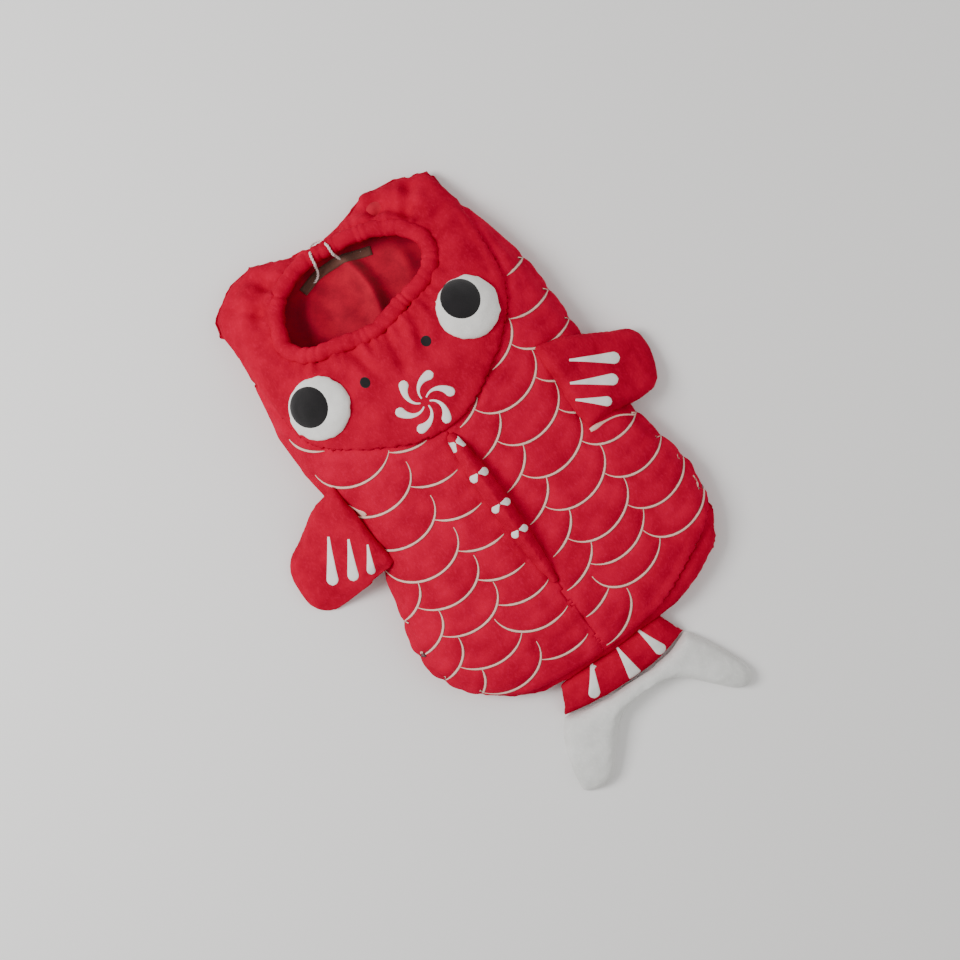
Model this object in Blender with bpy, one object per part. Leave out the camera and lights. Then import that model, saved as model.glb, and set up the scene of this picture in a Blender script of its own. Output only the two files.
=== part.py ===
"""A padded carp streamer: a quilted fleece carp with a gathered mouth, stuffed fins and a hanging cord.

It lies on its back panel on the floor: +Z up, head towards +Y, tail towards -Y. The origin is on the
floor under the middle of the whole object. Everything is in metres.

Places in plan are written in millimetres on the nominal carp, and at() stretches them with
BODY_WIDTH and OVERALL_LENGTH. Thicknesses, diameters and heights have names of their own.
"""

import math

import bmesh
import bpy
from mathutils import Matrix, Vector
from mathutils.bvhtree import BVHTree

# ---------------------------------------------------------------- driving dimensions

OVERALL_LENGTH = 0.750  # from the tips of the puffed corners to the tips of the tail
BODY_WIDTH = 0.405  # across the widest part of the quilted body
BAG_HEIGHT = 0.080  # the quilted body as it lies, at its thickest
SEAM_HEIGHT = 0.016  # the seam between front and back, above the floor

FLEECE = 0.0022  # the pile cloth of every red and white skin
WADDING = 0.0045  # the quilt wadding
LINING = 0.0012  # the smooth cloth inside
GAP = 0.0003  # between two pieces that touch
HEAD_PUFF = 0.008  # how far the head panel stands proud of the body

BAND_RADIUS = 0.0068  # the gathered casing round the mouth
BAND_WALL = 0.0018
BAND_SLIT_DEG = 24.0  # the casing's open side, where its raw edges are caught in the seam
ELASTIC_ROOM = 0.0008  # between the elastic's edges and the casing round it
ELASTIC_WIDTH = 2 * (BAND_RADIUS - BAND_WALL - ELASTIC_ROOM)
ELASTIC_THICKNESS = 0.0012

EYE_RADIUS = 0.041
EYE_RISE = 0.017
EYE_CLOTH = 0.0014
PUPIL_RADIUS = 0.0240
FELT = 0.0014  # pupils, nostrils and every white applique
NOSTRIL_RADIUS = 0.0064
WHORL_PETALS = 6
WHORL_RADIUS = 0.0335
PETAL_HEAD_RADIUS = 0.0062
PETAL_TAIL_HALF = 0.0011
PETAL_SWEEP_DEG = 62.0

DORSAL_HEIGHT = 0.028
DORSAL_HALF_WIDTH = 0.0125
DORSAL_CLOTH = 0.0016
DROP_LENGTH = 0.018  # the drops on the back fin
DROP_WIDTH = 0.0105

FIN_THICKNESS = 0.015
FIN_DROP_WIDTH = 0.0155  # the longest drop on a side fin
CUFF_THICKNESS = 0.017
FORK_THICKNESS = 0.026
CUFF_DROP_LENGTH = 0.039
CUFF_DROP_WIDTH = 0.0155
WEDGE_HALF_WIDTH = 0.0095

TAPE_WIDTH = 0.011
TAPE_THICKNESS = 0.0010
CORD_DIAMETER = 0.0034
CORD_LIE = 0.0010  # how closely the cord lies on the cloth under it

NOMINAL_LENGTH = 750.0
NOMINAL_WIDTH = 405.0

# ---------------------------------------------------------------- scene and materials

for thing in list(bpy.data.objects):
    bpy.data.objects.remove(thing, do_unlink=True)

COLOURS = {  # name: (sRGB hex, roughness)
    "red_fleece": ("C4122B", 0.95),
    "plain_fleece": ("B80F27", 0.95),
    "lining": ("A31220", 0.90),
    "wadding": ("E9E6DC", 1.00),
    "white_felt": ("E8E6DE", 0.92),
    "white_fleece": ("E2E2DC", 0.95),
    "black_felt": ("201C1E", 0.90),
    "elastic": ("D9D5CB", 0.80),
    "brown_tape": ("6B4234", 0.85),
    "cord": ("EDE3DD", 0.80),
}


def linear(channel):
    """One sRGB channel, 0 to 1, as linear light."""
    if channel <= 0.04045:
        return channel / 12.92
    return ((channel + 0.055) / 1.055) ** 2.4


def make_material(name):
    """The cloth of that name, as a Principled material."""
    code, roughness = COLOURS[name]
    rgb = [linear(int(code[i : i + 2], 16) / 255) for i in (0, 2, 4)]
    material = bpy.data.materials.new(name)
    material.use_nodes = True
    shader = material.node_tree.nodes["Principled BSDF"]
    shader.inputs["Base Color"].default_value = (*rgb, 1)
    shader.inputs["Roughness"].default_value = roughness
    shader.inputs["Metallic"].default_value = 0
    material.diffuse_color = (*rgb, 1)
    return material


MATERIALS = {name: make_material(name) for name in COLOURS}


def finish(bm, name, cloth):
    """The bmesh as an object of that name and cloth, made of flat triangles that face outwards."""
    bmesh.ops.triangulate(bm, faces=bm.faces[:])
    bmesh.ops.recalc_face_normals(bm, faces=bm.faces[:])
    mesh = bpy.data.meshes.new(name)
    bm.to_mesh(mesh)
    bm.free()
    mesh.materials.append(MATERIALS[cloth])
    mesh.shade_smooth()
    mesh.set_sharp_from_angle(angle=math.radians(35))
    piece = bpy.data.objects.new(name, mesh)
    bpy.context.scene.collection.objects.link(piece)
    return piece


def hide(piece):
    """A cutter or a guide: kept in the file, left out of the render."""
    piece.hide_render = True
    piece.display_type = "WIRE"
    return piece


# ---------------------------------------------------------------- curves in plan


def at(x, y):
    """A place on the nominal carp, in millimetres, as a point in plan in metres."""
    width = x / NOMINAL_WIDTH * BODY_WIDTH
    length = y / NOMINAL_LENGTH * OVERALL_LENGTH
    return Vector((width, length, 0))


def spline(points, closed=False):
    """A smooth curve through the points, as a function of 0 to 1 along it."""
    spans = len(points) if closed else len(points) - 1

    def point_at(index):
        if closed:
            return points[index % len(points)]
        if index < 0:
            return points[0] * 2 - points[1]
        if index >= len(points):
            return points[-1] * 2 - points[-2]
        return points[index]

    def place(share):
        whole = min(int(share * spans), spans - 1) if not closed else int(share * spans)
        t = share * spans - whole
        a, b, c, d = (point_at(whole + step) for step in (-1, 0, 1, 2))
        slope_in = (c - a) / 2
        slope_out = (d - b) / 2
        return (
            b * (2 * t**3 - 3 * t**2 + 1)
            + slope_in * (t**3 - 2 * t**2 + t)
            + c * (3 * t**2 - 2 * t**3)
            + slope_out * (t**3 - t**2)
        )

    return place


def even(points, count, closed=False):
    """count points at even distances along the smooth curve through the points."""
    place = spline(points, closed)
    fine = [place(i / 400) for i in range(400 if closed else 401)]
    if closed:
        fine.append(fine[0])
    reach = [0.0]
    for before, after in zip(fine, fine[1:]):
        reach.append(reach[-1] + (after - before).length)
    steps = count if closed else count - 1
    found = []
    segment = 0
    for i in range(count):
        goal = reach[-1] * i / steps
        while segment < len(fine) - 2 and reach[segment + 1] < goal:
            segment += 1
        span = reach[segment + 1] - reach[segment]
        found.append(fine[segment].lerp(fine[segment + 1], (goal - reach[segment]) / span))
    return found


def field(low, right, high, left):
    """A patch of the plan inside four curves, as a function of s and t, each from -1 to 1.

    low and high run from left to right, and left and right run from low to high. Each is a list of
    points or a function of 0 to 1.
    """
    sides = [curve if callable(curve) else spline(curve) for curve in (low, right, high, left)]
    bottom_left, bottom_right, top_left, top_right = (sides[k](end) for k in (0, 2) for end in (0, 1))

    def place(s, t):
        a, b = (s + 1) / 2, (t + 1) / 2
        bottom, east, top, west = sides[0](a), sides[1](b), sides[2](a), sides[3](b)
        across = bottom.lerp(top, b) + west.lerp(east, a)
        corners = bottom_left.lerp(bottom_right, a).lerp(top_left.lerp(top_right, a), b)
        return across - corners

    return place


def chained(stretches):
    """One curve, with corners, through (share of the way, points) stretches that each run smoothly."""
    curves = [(share, spline(points)) for share, points in stretches]

    def place(at_share):
        for share, curve in curves[:-1]:
            if at_share <= share:
                return curve(at_share / share)
            at_share -= share
        share, curve = curves[-1]
        return curve(min(at_share / share, 1))

    return place


def crowded(count, pull=0.72):
    """count + 1 values from -1 to 1 that crowd together towards both ends."""
    values = []
    for i in range(count + 1):
        x = 2 * i / count - 1
        values.append(pull * math.sin(x * math.pi / 2) + (1 - pull) * x)
    return values


def slab(name, upper, lower, columns, rows, cloth):
    """A closed slab between the surfaces upper(s, t) and lower(s, t), on that grid of s and t."""
    bm = bmesh.new()
    across, along = len(columns) - 1, len(rows) - 1
    bmesh.ops.create_grid(bm, x_segments=across, y_segments=along, size=0.5)
    bmesh.ops.triangulate(bm, faces=bm.faces[:], quad_method="FIXED")
    for vertex in bm.verts:
        vertex.co.x = columns[round((vertex.co.x + 0.5) * across)]
        vertex.co.y = rows[round((vertex.co.y + 0.5) * along)]
    copied = bmesh.ops.extrude_face_region(bm, geom=bm.faces[:], use_keep_orig=True)
    raised = {v for v in copied["geom"] if isinstance(v, bmesh.types.BMVert)}
    for vertex in bm.verts:
        side = upper if vertex in raised else lower
        vertex.co = side(vertex.co.x, vertex.co.y)
    return finish(bm, name, cloth)


# ---------------------------------------------------------------- the bag's own surfaces

TAIL_CORNER_LEFT = at(-150, -204)
TAIL_CORNER_RIGHT = at(186, -216)
HEAD_CORNER_LEFT = at(-153, 345)
HEAD_CORNER_RIGHT = at(167, 343)
TAIL_END_Y = -248.6  # nominal millimetres, where the cuff is sewn on

bag_plan = field(
    low=[TAIL_CORNER_LEFT, at(-100, -236), at(-40, TAIL_END_Y + 1.6), at(40, TAIL_END_Y),
         at(110, -246), TAIL_CORNER_RIGHT],
    right=[TAIL_CORNER_RIGHT, at(212, -160), at(213, -95), at(197, -35), at(195, 40), at(200, 120),
           at(196, 205), at(180, 270), at(170, 305), HEAD_CORNER_RIGHT],
    high=[HEAD_CORNER_LEFT, at(-112, 370), at(-70, 374.3), at(-30, 357), at(12, 350), at(42, 354),
          at(75, 366), at(120, 361), HEAD_CORNER_RIGHT],
    left=[TAIL_CORNER_LEFT, at(-183, -150), at(-183, -88), at(-162, -30), at(-159, 60), at(-168, 130),
          at(-168, 205), at(-152, 270), at(-157, 320), HEAD_CORNER_LEFT],
)

HALF_WIDTH = BODY_WIDTH / 2
HALF_LENGTH = OVERALL_LENGTH * 0.4

CREST = spline([Vector((share, 0, 0)) for share in (0.58, 0.78, 0.88, 0.94, 0.98, 1.0, 0.76, 0.26)])


def crest_height(y):
    """The height of the front panel's middle line at that place along the carp."""
    share = y / OVERALL_LENGTH + 1 / 3
    share = min(max(share * 1.2, 0), 1)
    return BAG_HEIGHT * CREST(share).x


def shrunk(s, t, depth):
    """The plan place that a layer at that depth has, drawn in from the seam by its depth."""
    return bag_plan(s * (1 - depth / HALF_WIDTH), t * (1 - depth / HALF_LENGTH))


def dome(s, t):
    """1 over the middle of the bag and 0 at its seam."""
    return math.sqrt(max(1 - abs(s) ** 2.4, 0)) * math.sqrt(max(1 - abs(t) ** 6, 0))


def front(depth):
    """The surface at that depth under the front panel's face."""

    def place(s, t):
        point = shrunk(s, t, depth)
        rise = crest_height(point.y) - SEAM_HEIGHT - depth
        point.z = SEAM_HEIGHT + rise * dome(s, t)
        return point

    return place


def head(depth):
    """The surface at that depth under the head panel's face, which is puffed up over the body."""

    def place(s, t):
        puff = HEAD_PUFF * (1 - s**4) * (1 - t**4)
        return front(depth)(s, t) + Vector((0, 0, puff))

    return place


def back(depth):
    """The surface at that depth over the back panel's face: flat, then turned up to the seam."""

    def place(s, t):
        point = shrunk(s, t, depth)
        flat = min(1.6 * (1 - s**6) * (1 - t**6), 1)
        seam = SEAM_HEIGHT - GAP
        point.z = seam - (seam - depth) * flat
        return point

    return place


WADDING_OUTER = FLEECE + GAP
WADDING_INNER = WADDING_OUTER + WADDING
LINING_OUTER = WADDING_INNER + GAP
LINING_INNER = LINING_OUTER + LINING

COLUMNS = crowded(10)
ROWS = crowded(15)
INNER_COLUMNS = COLUMNS[1:-1]
INNER_ROWS = ROWS[1:-1]


# ---------------------------------------------------------------- cutters

MOUTH = [at(-93, 262), at(-84, 292), at(-60, 318), at(-22, 331), at(20, 327), at(62, 316), at(95, 294),
         at(105, 262), at(84, 236), at(42, 227), at(0, 218), at(-44, 229), at(-78, 240)]
MOUTH_STEPS = 34

HEAD_SEAM = [at(-230, 275), at(-160, 262), at(-150, 235), at(-146, 185), at(-134, 150), at(-107, 127),
             at(-72, 103), at(-37, 85), at(0, 77), at(27, 79), at(52, 89), at(80, 104), at(114, 126),
             at(142, 154), at(157, 186), at(164, 222), at(168, 262), at(178, 296), at(250, 330)]

GUSSET_SEAM = [at(-250, -150), at(-205, -160), at(-170, -183), at(-145, -204), at(-122, -217),
               at(-95, -229), at(-40, -238), at(40, -239), at(84, -235), at(116, -222), at(150, -206),
               at(182, -188), at(206, -166), at(228, -142), at(270, -128)]

FAR = 0.6


def prism(name, outline):
    """A tall upright cutter with that outline in plan."""
    bm = bmesh.new()
    face = bm.faces.new([bm.verts.new((p.x, p.y, -0.1)) for p in outline])
    raised = bmesh.ops.extrude_face_region(bm, geom=[face], use_keep_orig=True)
    top = [v for v in raised["geom"] if isinstance(v, bmesh.types.BMVert)]
    bmesh.ops.translate(bm, verts=top, vec=(0, 0, 0.4))
    return hide(finish(bm, name, "wadding"))


def moved_out(points, distance, closed=True):
    """The outline, moved to its right-hand side by that distance."""
    count = len(points)
    found = []
    for i, point in enumerate(points):
        before = points[(i - 1) % count] if closed or i else point
        after = points[(i + 1) % count] if closed or i < count - 1 else point
        run = (after - before).normalized()
        found.append(point + Vector((run.y, -run.x, 0)) * distance)
    return found


def cut(piece, cutter, operation="DIFFERENCE"):
    """Adds an exact Boolean of the piece with the cutter."""
    boolean = piece.modifiers.new(cutter.name, "BOOLEAN")
    boolean.operation = operation
    boolean.solver = "EXACT"
    boolean.object = cutter


mouth_line = even(MOUTH, MOUTH_STEPS, closed=True)  # clockwise in plan
mouth_cutter = prism("cut_mouth", moved_out(mouth_line, -(BAND_RADIUS + GAP)))

head_line = even(HEAD_SEAM, 44)
head_top = [Vector((FAR, FAR, 0)), Vector((-FAR, FAR, 0))]
head_cutter = prism("cut_head", head_line + head_top)
body_cutter = prism("cut_head_clear", moved_out(head_line, GAP, closed=False) + head_top)

gusset_line = even(GUSSET_SEAM, 36)
scaled_cutter = prism("cut_scaled", gusset_line + head_top)
gusset_cutter = prism("cut_gusset", moved_out(gusset_line, GAP, closed=False) + head_top)


def half_plane(name, side):
    """Everything to one side of the back fin's seam: -1 is left and 1 is right."""
    edge = side * GAP / 2
    corners = [Vector((edge, -FAR, 0)), Vector((side * FAR, -FAR, 0)),
               Vector((side * FAR, FAR, 0)), Vector((edge, FAR, 0))]
    return prism(name, corners)


# ---------------------------------------------------------------- the quilted bag


def build_bag():
    """The layers of the bag: fleece, wadding and lining, in front and behind."""
    slab("back_panel", back(FLEECE), back(0), COLUMNS, ROWS, "plain_fleece")
    slab("back_wadding", back(WADDING_INNER), back(WADDING_OUTER), COLUMNS, ROWS, "wadding")
    slab("back_lining", back(LINING_INNER), back(LINING_OUTER), COLUMNS, ROWS, "lining")

    for name, side in (("left_front_panel", -1), ("right_front_panel", 1)):
        panel = slab(name, front(0), front(FLEECE), COLUMNS, ROWS, "red_fleece")
        cut(panel, scaled_cutter, "INTERSECT")
        cut(panel, body_cutter)
        cut(panel, half_plane("cut_" + name, side), "INTERSECT")

    gusset = slab("lower_gusset", front(0), front(FLEECE), COLUMNS, ROWS, "plain_fleece")
    cut(gusset, gusset_cutter)

    filling = slab("front_wadding", front(WADDING_OUTER), front(WADDING_INNER), COLUMNS, ROWS, "wadding")
    cut(filling, mouth_cutter)
    inside = slab("front_lining", front(LINING_OUTER), front(LINING_INNER), COLUMNS, ROWS, "lining")
    cut(inside, mouth_cutter)

    face = slab("head_panel", head(0), head(FLEECE), COLUMNS, ROWS, "plain_fleece")
    cut(face, head_cutter, "INTERSECT")
    cut(face, mouth_cutter)
    puff = slab("head_wadding", head(WADDING_OUTER), front(FLEECE), INNER_COLUMNS, INNER_ROWS, "wadding")
    cut(puff, head_cutter, "INTERSECT")
    cut(puff, mouth_cutter)
    return face


head_panel = build_bag()


def surface_of(piece):
    """The piece's mesh with its modifiers, for finding what lies under a point."""
    bpy.context.view_layer.update()
    return BVHTree.FromObject(piece, bpy.context.evaluated_depsgraph_get())


def drop_onto(tree, point, miss=0.0):
    """The height of the surface straight under a plan point."""
    hit = tree.ray_cast(Vector((point.x, point.y, 0.3)), Vector((0, 0, -1)))
    return hit[0].z if hit[0] else miss


bag_guide = hide(slab("guide_front", front(0), front(LINING_INNER), COLUMNS, ROWS, "wadding"))
BAG = surface_of(bag_guide)
HEAD = surface_of(head_panel)
LINED_BACK = surface_of(bpy.data.objects["back_lining"])


# ---------------------------------------------------------------- the mouth


def swept_ring(name, centres, section, cloth):
    """A closed ring: the section, (out, up) pairs, carried round the closed line of centres."""
    bm = bmesh.new()
    loops = []
    count = len(centres)
    for i, centre in enumerate(centres):
        run = (centres[(i + 1) % count] - centres[i - 1]).normalized()
        out = Vector((-run.y, run.x, 0)).normalized()
        up = run.cross(out) * -1
        up = up if up.z > 0 else -up
        loops.append([bm.verts.new(centre + out * x + up * y) for x, y in section])
    for i, loop in enumerate(loops):
        following = loops[(i + 1) % count]
        for k, vertex in enumerate(loop):
            after = (k + 1) % len(loop)
            bm.faces.new((vertex, loop[after], following[after], following[k]))
    return finish(bm, name, cloth)


def band_section():
    """The casing as a C, open at the side that faces away from the mouth."""
    half = math.radians(BAND_SLIT_DEG / 2)
    steps = 7
    angles = [half + (2 * math.pi - 2 * half) * k / steps for k in range(steps + 1)]
    outer = [(BAND_RADIUS * math.cos(a), BAND_RADIUS * math.sin(a)) for a in angles]
    radius = BAND_RADIUS - BAND_WALL
    inner = [(radius * math.cos(a), radius * math.sin(a)) for a in reversed(angles)]
    return outer + inner


def build_mouth():
    """The gathered casing on the edge of the mouth, and the elastic inside it."""
    rim = []
    for point in mouth_line:
        height = drop_onto(BAG, point)
        rim.append(Vector((point.x, point.y, height)))
    swept_ring("mouth_band", rim, band_section(), "red_fleece")
    x, y = ELASTIC_THICKNESS / 2, ELASTIC_WIDTH / 2
    swept_ring("mouth_elastic", rim, [(-x, -y), (x, -y), (x, y), (-x, y)], "elastic")
    return rim


mouth_rim = build_mouth()


# ---------------------------------------------------------------- appliques
#
# A skin is what an applique needs to know of the piece below it: the builder of its solid, its
# surface as a function of depth, and its grid. A negative depth lies above the piece.

HEAD_SKIN = (slab, head, COLUMNS, ROWS)


def applique(name, skin, outline, cloth, thickness=FELT, sideways=0):
    """A thin shape with that outline, trimmed from a second skin that lies on the first."""
    build, surface, columns, rows = skin
    piece = build(name, surface(-GAP - thickness), surface(-GAP), columns, rows, cloth)
    cutter = prism("cut_" + name, outline)
    if sideways:
        lay_sideways(cutter, sideways)
    cut(piece, cutter, "INTERSECT")
    return piece


def disc(centre, radius, count):
    """A round outline in plan."""
    angles = [2 * math.pi * k / count for k in range(count)]
    return [centre + Vector((radius * math.cos(a), radius * math.sin(a), 0)) for a in angles]


def half_circle(centre, run, radius, count=7):
    """The points of a half circle that bulges along run, from its right-hand side to its left."""
    side = Vector((-run.y, run.x, 0))
    angles = [math.pi * k / (count - 1) - math.pi / 2 for k in range(count)]
    return [centre + (run * math.cos(a) + side * math.sin(a)) * radius for a in angles]


def drop(tip, end, width):
    """A drop's outline in plan: narrow at tip and round at end."""
    run = (end - tip).normalized()
    side = Vector((-run.y, run.x, 0))
    radius = width / 2
    narrow = radius * 0.22
    return [tip - side * narrow, *half_circle(end - run * radius, run, radius), tip + side * narrow]


def petal(centre, angle):
    """One comma of the whorl: a fine tail by the centre that curls out to a round head."""
    steps = 6
    reach_in, reach_out = WHORL_RADIUS * 0.16, WHORL_RADIUS - PETAL_HEAD_RADIUS
    line = []
    for k in range(steps + 1):
        share = k / steps
        reach = reach_in + (reach_out - reach_in) * share
        turn = angle - math.radians(PETAL_SWEEP_DEG) * share**1.3
        line.append(centre + Vector((reach * math.cos(turn), reach * math.sin(turn), 0)))
    left, right = [], []
    for k, point in enumerate(line[:-1]):
        run = (line[k + 1] - line[max(k - 1, 0)]).normalized()
        half = PETAL_TAIL_HALF + (PETAL_HEAD_RADIUS - PETAL_TAIL_HALF) * (k / steps) ** 1.6
        side = Vector((-run.y, run.x, 0)) * half
        left.append(point + side)
        right.append(point - side)
    run = (line[-1] - line[-2]).normalized()
    return right + half_circle(line[-1], run, PETAL_HEAD_RADIUS) + left[::-1]


# ---------------------------------------------------------------- eyes, nostrils and whorl

EYES = {"left": (at(-103, 181), at(-111, 188)), "right": (at(101, 175), at(99, 187))}
NOSTRILS = {"left": at(-43, 173), "right": at(40, 171)}
WHORL_CENTRE = at(-1, 116)
EYE_SPOKES = 18
EYE_RINGS = [0.38, 0.68, 0.88, 1.0]
EYE_SAG = 0.5354  # how far a flat facet of the eye dips, per square metre of the eye's radius squared
EYE_SEAT = EYE_SAG * EYE_RADIUS**2  # the eye's edge over the head panel
EYE_STUFFING_SEAT = EYE_SEAT + 0.0005
EYE_EDGE_STEPS = 40


def disc_solid(name, upper, lower, spokes, rings, cloth):
    """A closed round solid between two surfaces, functions of turn and reach from 0 to 1."""
    bm = bmesh.new()
    edges = []
    for surface in (upper, lower):
        middle = bm.verts.new(surface(0, 0))
        circles = [[bm.verts.new(surface(k / spokes, reach)) for k in range(spokes)] for reach in rings]
        for k in range(spokes):
            after = (k + 1) % spokes
            bm.faces.new((middle, circles[0][k], circles[0][after]))
            for near, far in zip(circles, circles[1:]):
                bm.faces.new((near[k], far[k], far[after], near[after]))
        edges.append(circles[-1])
    for k in range(spokes):
        after = (k + 1) % spokes
        bm.faces.new((edges[0][k], edges[1][k], edges[1][after], edges[0][after]))
    return finish(bm, name, cloth)


def head_under(point, centre):
    """The head panel's height there, or where its edge is on the way from there to the centre."""
    for step in range(EYE_EDGE_STEPS):
        height = drop_onto(HEAD, point.lerp(centre, step / EYE_EDGE_STEPS), None)
        if height is not None:
            return height
    return HEAD_PUFF


def eye_surface(centre, seat=EYE_SEAT, flat=False):
    """The eye's dome at a depth under its face, or the ground under it, standing on the head panel."""

    def at_depth(depth):
        radius, rise = EYE_RADIUS - depth, EYE_RISE - depth

        def place(turn, reach):
            angle = 2 * math.pi * turn
            point = centre + Vector((math.cos(angle), math.sin(angle), 0)) * reach * radius
            swell = 0 if flat else rise * math.sqrt(max(1 - reach * reach, 0))
            point.z = head_under(point, centre) + seat + swell
            return point

        return place

    return at_depth


def build_eye(side):
    """A stuffed white cap with a flat black pupil on it."""
    centre, pupil = EYES[side]
    dome_at = eye_surface(centre)
    disc_solid(side + "_eye_cap", dome_at(0), dome_at(EYE_CLOTH), EYE_SPOKES, EYE_RINGS, "white_felt")
    inset = EYE_CLOTH + GAP
    ground_at = eye_surface(centre, EYE_STUFFING_SEAT, flat=True)
    disc_solid(side + "_eye_stuffing", dome_at(inset), ground_at(inset), EYE_SPOKES, EYE_RINGS[:-1],
               "wadding")
    skin = (disc_solid, dome_at, EYE_SPOKES, EYE_RINGS[:-1])
    applique(side + "_pupil", skin, disc(pupil, PUPIL_RADIUS, 16), "black_felt")


def build_face():
    """The eyes, the nostrils and the whorl."""
    for side in ("left", "right"):
        build_eye(side)
        nostril = disc(NOSTRILS[side], NOSTRIL_RADIUS, 12)
        applique(side + "_nostril", HEAD_SKIN, nostril, "black_felt")
    for k in range(WHORL_PETALS):
        turn = math.radians(100) - 2 * math.pi * k / WHORL_PETALS
        applique(f"whorl_petal_{k + 1}", HEAD_SKIN, petal(WHORL_CENTRE, turn), "white_felt")


build_face()


# ---------------------------------------------------------------- the back fin

DORSAL_START = at(0, 73)
DORSAL_END = at(0, -137)
DORSAL_STATIONS = 12
DORSAL_BASE_HALF = 0.0014
DORSAL_LIFT = 0.0007  # its seam over the front panels, which leaves it room to lean
DORSAL_LOOSE = 0.0006  # the stuffing's room inside the back fin's cover
DORSAL_LOWEST = 0.007  # the fin's height at its two ends
DORSAL_PEAK = 0.42  # where it is tallest, as a share of its length
DORSAL_DROPS = [0.09, 0.30, 0.48, 0.68]  # the drops' places along it, as shares of its length
DORSAL_AROUND = [-1, -0.86, -0.68, -0.48, -0.26, 0, 0.26, 0.48, 0.68, 0.86, 1]
DORSAL_ALONG = [-1 + 2 * k / (DORSAL_STATIONS - 1) for k in range(DORSAL_STATIONS)]


def dorsal_line():
    """The straight line, just over the front panels, that the back fin is sewn along."""
    ends = [DORSAL_START.copy(), DORSAL_END.copy()]
    for point in ends:
        point.z = drop_onto(BAG, point)
    highest = 0
    for k in range(41):
        point = ends[0].lerp(ends[1], k / 40)
        for x in (-DORSAL_BASE_HALF, 0, DORSAL_BASE_HALF):
            highest = max(highest, drop_onto(BAG, point + Vector((x, 0, 0))) - point.z)
    for point in ends:
        point.z += highest + DORSAL_LIFT
    return ends


DORSAL_AXIS = dorsal_line()


def dorsal_profile(share):
    """The fin's height at a share of the way from its head end to its tail end."""
    rise = math.sin(math.pi / 2 * min(share / DORSAL_PEAK, 1)) ** 0.7
    fall = max(math.cos(math.pi / 2 * max(share - DORSAL_PEAK, 0) / (1 - DORSAL_PEAK)), 0) ** 0.8
    return DORSAL_LOWEST + (DORSAL_HEIGHT - DORSAL_LOWEST) * rise * fall


def dorsal_skin(depth):
    """The fin's side at that depth: s runs from the left seam over the crest to the right seam."""

    def place(s, t):
        share = (t + 1) / 2
        height = dorsal_profile(share)
        width = DORSAL_BASE_HALF + (DORSAL_HALF_WIDTH - DORSAL_BASE_HALF) * height / DORSAL_HEIGHT
        up = 1 - abs(s)
        half = max(DORSAL_BASE_HALF * (1 - up) + width * math.sin(math.pi * up**0.85), 0) - depth
        if abs(s) == 1:
            half = DORSAL_BASE_HALF - depth * 0.85
        x = math.copysign(max(half, 0), s) if s else 0
        return DORSAL_AXIS[0].lerp(DORSAL_AXIS[1], share) + Vector((x, 0, max(height - depth, 0.001) * up))

    return place


def dorsal_fill(side):
    """One side of the stuffing in the back fin: s runs up it from 1 at the seam towards 0."""
    skin = dorsal_skin(DORSAL_CLOTH + DORSAL_LOOSE)
    return lambda s, t: skin(side * s, t)


def lay_sideways(cutter, side):
    """Turns a cutter drawn in plan so that it cuts in from one side, its +X up and its +Y along +Y."""
    cutter.rotation_euler = (0, -side * math.pi / 2, 0)


def build_dorsal():
    """The stuffed ridge on the midline, with pairs of white drops over its crest."""
    slab("back_fin_cover", dorsal_skin(0), dorsal_skin(DORSAL_CLOTH), DORSAL_AROUND, DORSAL_ALONG,
         "red_fleece")
    slab("back_fin_stuffing", dorsal_fill(1), dorsal_fill(-1), [0.68, 0.48, 0.26], DORSAL_ALONG[1:-1],
         "wadding")
    middle = len(DORSAL_AROUND) // 2
    for name, side in (("left", -1), ("right", 1)):
        around = DORSAL_AROUND[1:middle] if side < 0 else DORSAL_AROUND[middle + 1 : -1]
        skin = (slab, dorsal_skin, around, DORSAL_ALONG)
        for number, share in enumerate(DORSAL_DROPS):
            outline = dorsal_drop(share, 1 - 0.13 * number, side)
            applique(f"{name}_back_fin_drop_{number + 1}", skin, outline, "white_felt", sideways=side)


def dorsal_drop(share, size, side):
    """A drop's outline on the back fin's side, with X up: it hangs from the crest towards the tail."""
    crest = DORSAL_AXIS[0].lerp(DORSAL_AXIS[1], share)
    top = crest.z + dorsal_profile(share) * 0.80
    run = Vector((-math.cos(math.radians(50)), -math.sin(math.radians(50)), 0))
    tip = Vector((top, crest.y, 0))
    points = drop(tip, tip + run * DROP_LENGTH * size, DROP_WIDTH * size)
    return [Vector((point.x * side, point.y, 0)) for point in points]


build_dorsal()


# ---------------------------------------------------------------- stuffed plates: fins and tail

PLATE_EDGE = FLEECE + GAP / 2  # half the thickness of a stuffed plate at its sewn edge


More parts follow.
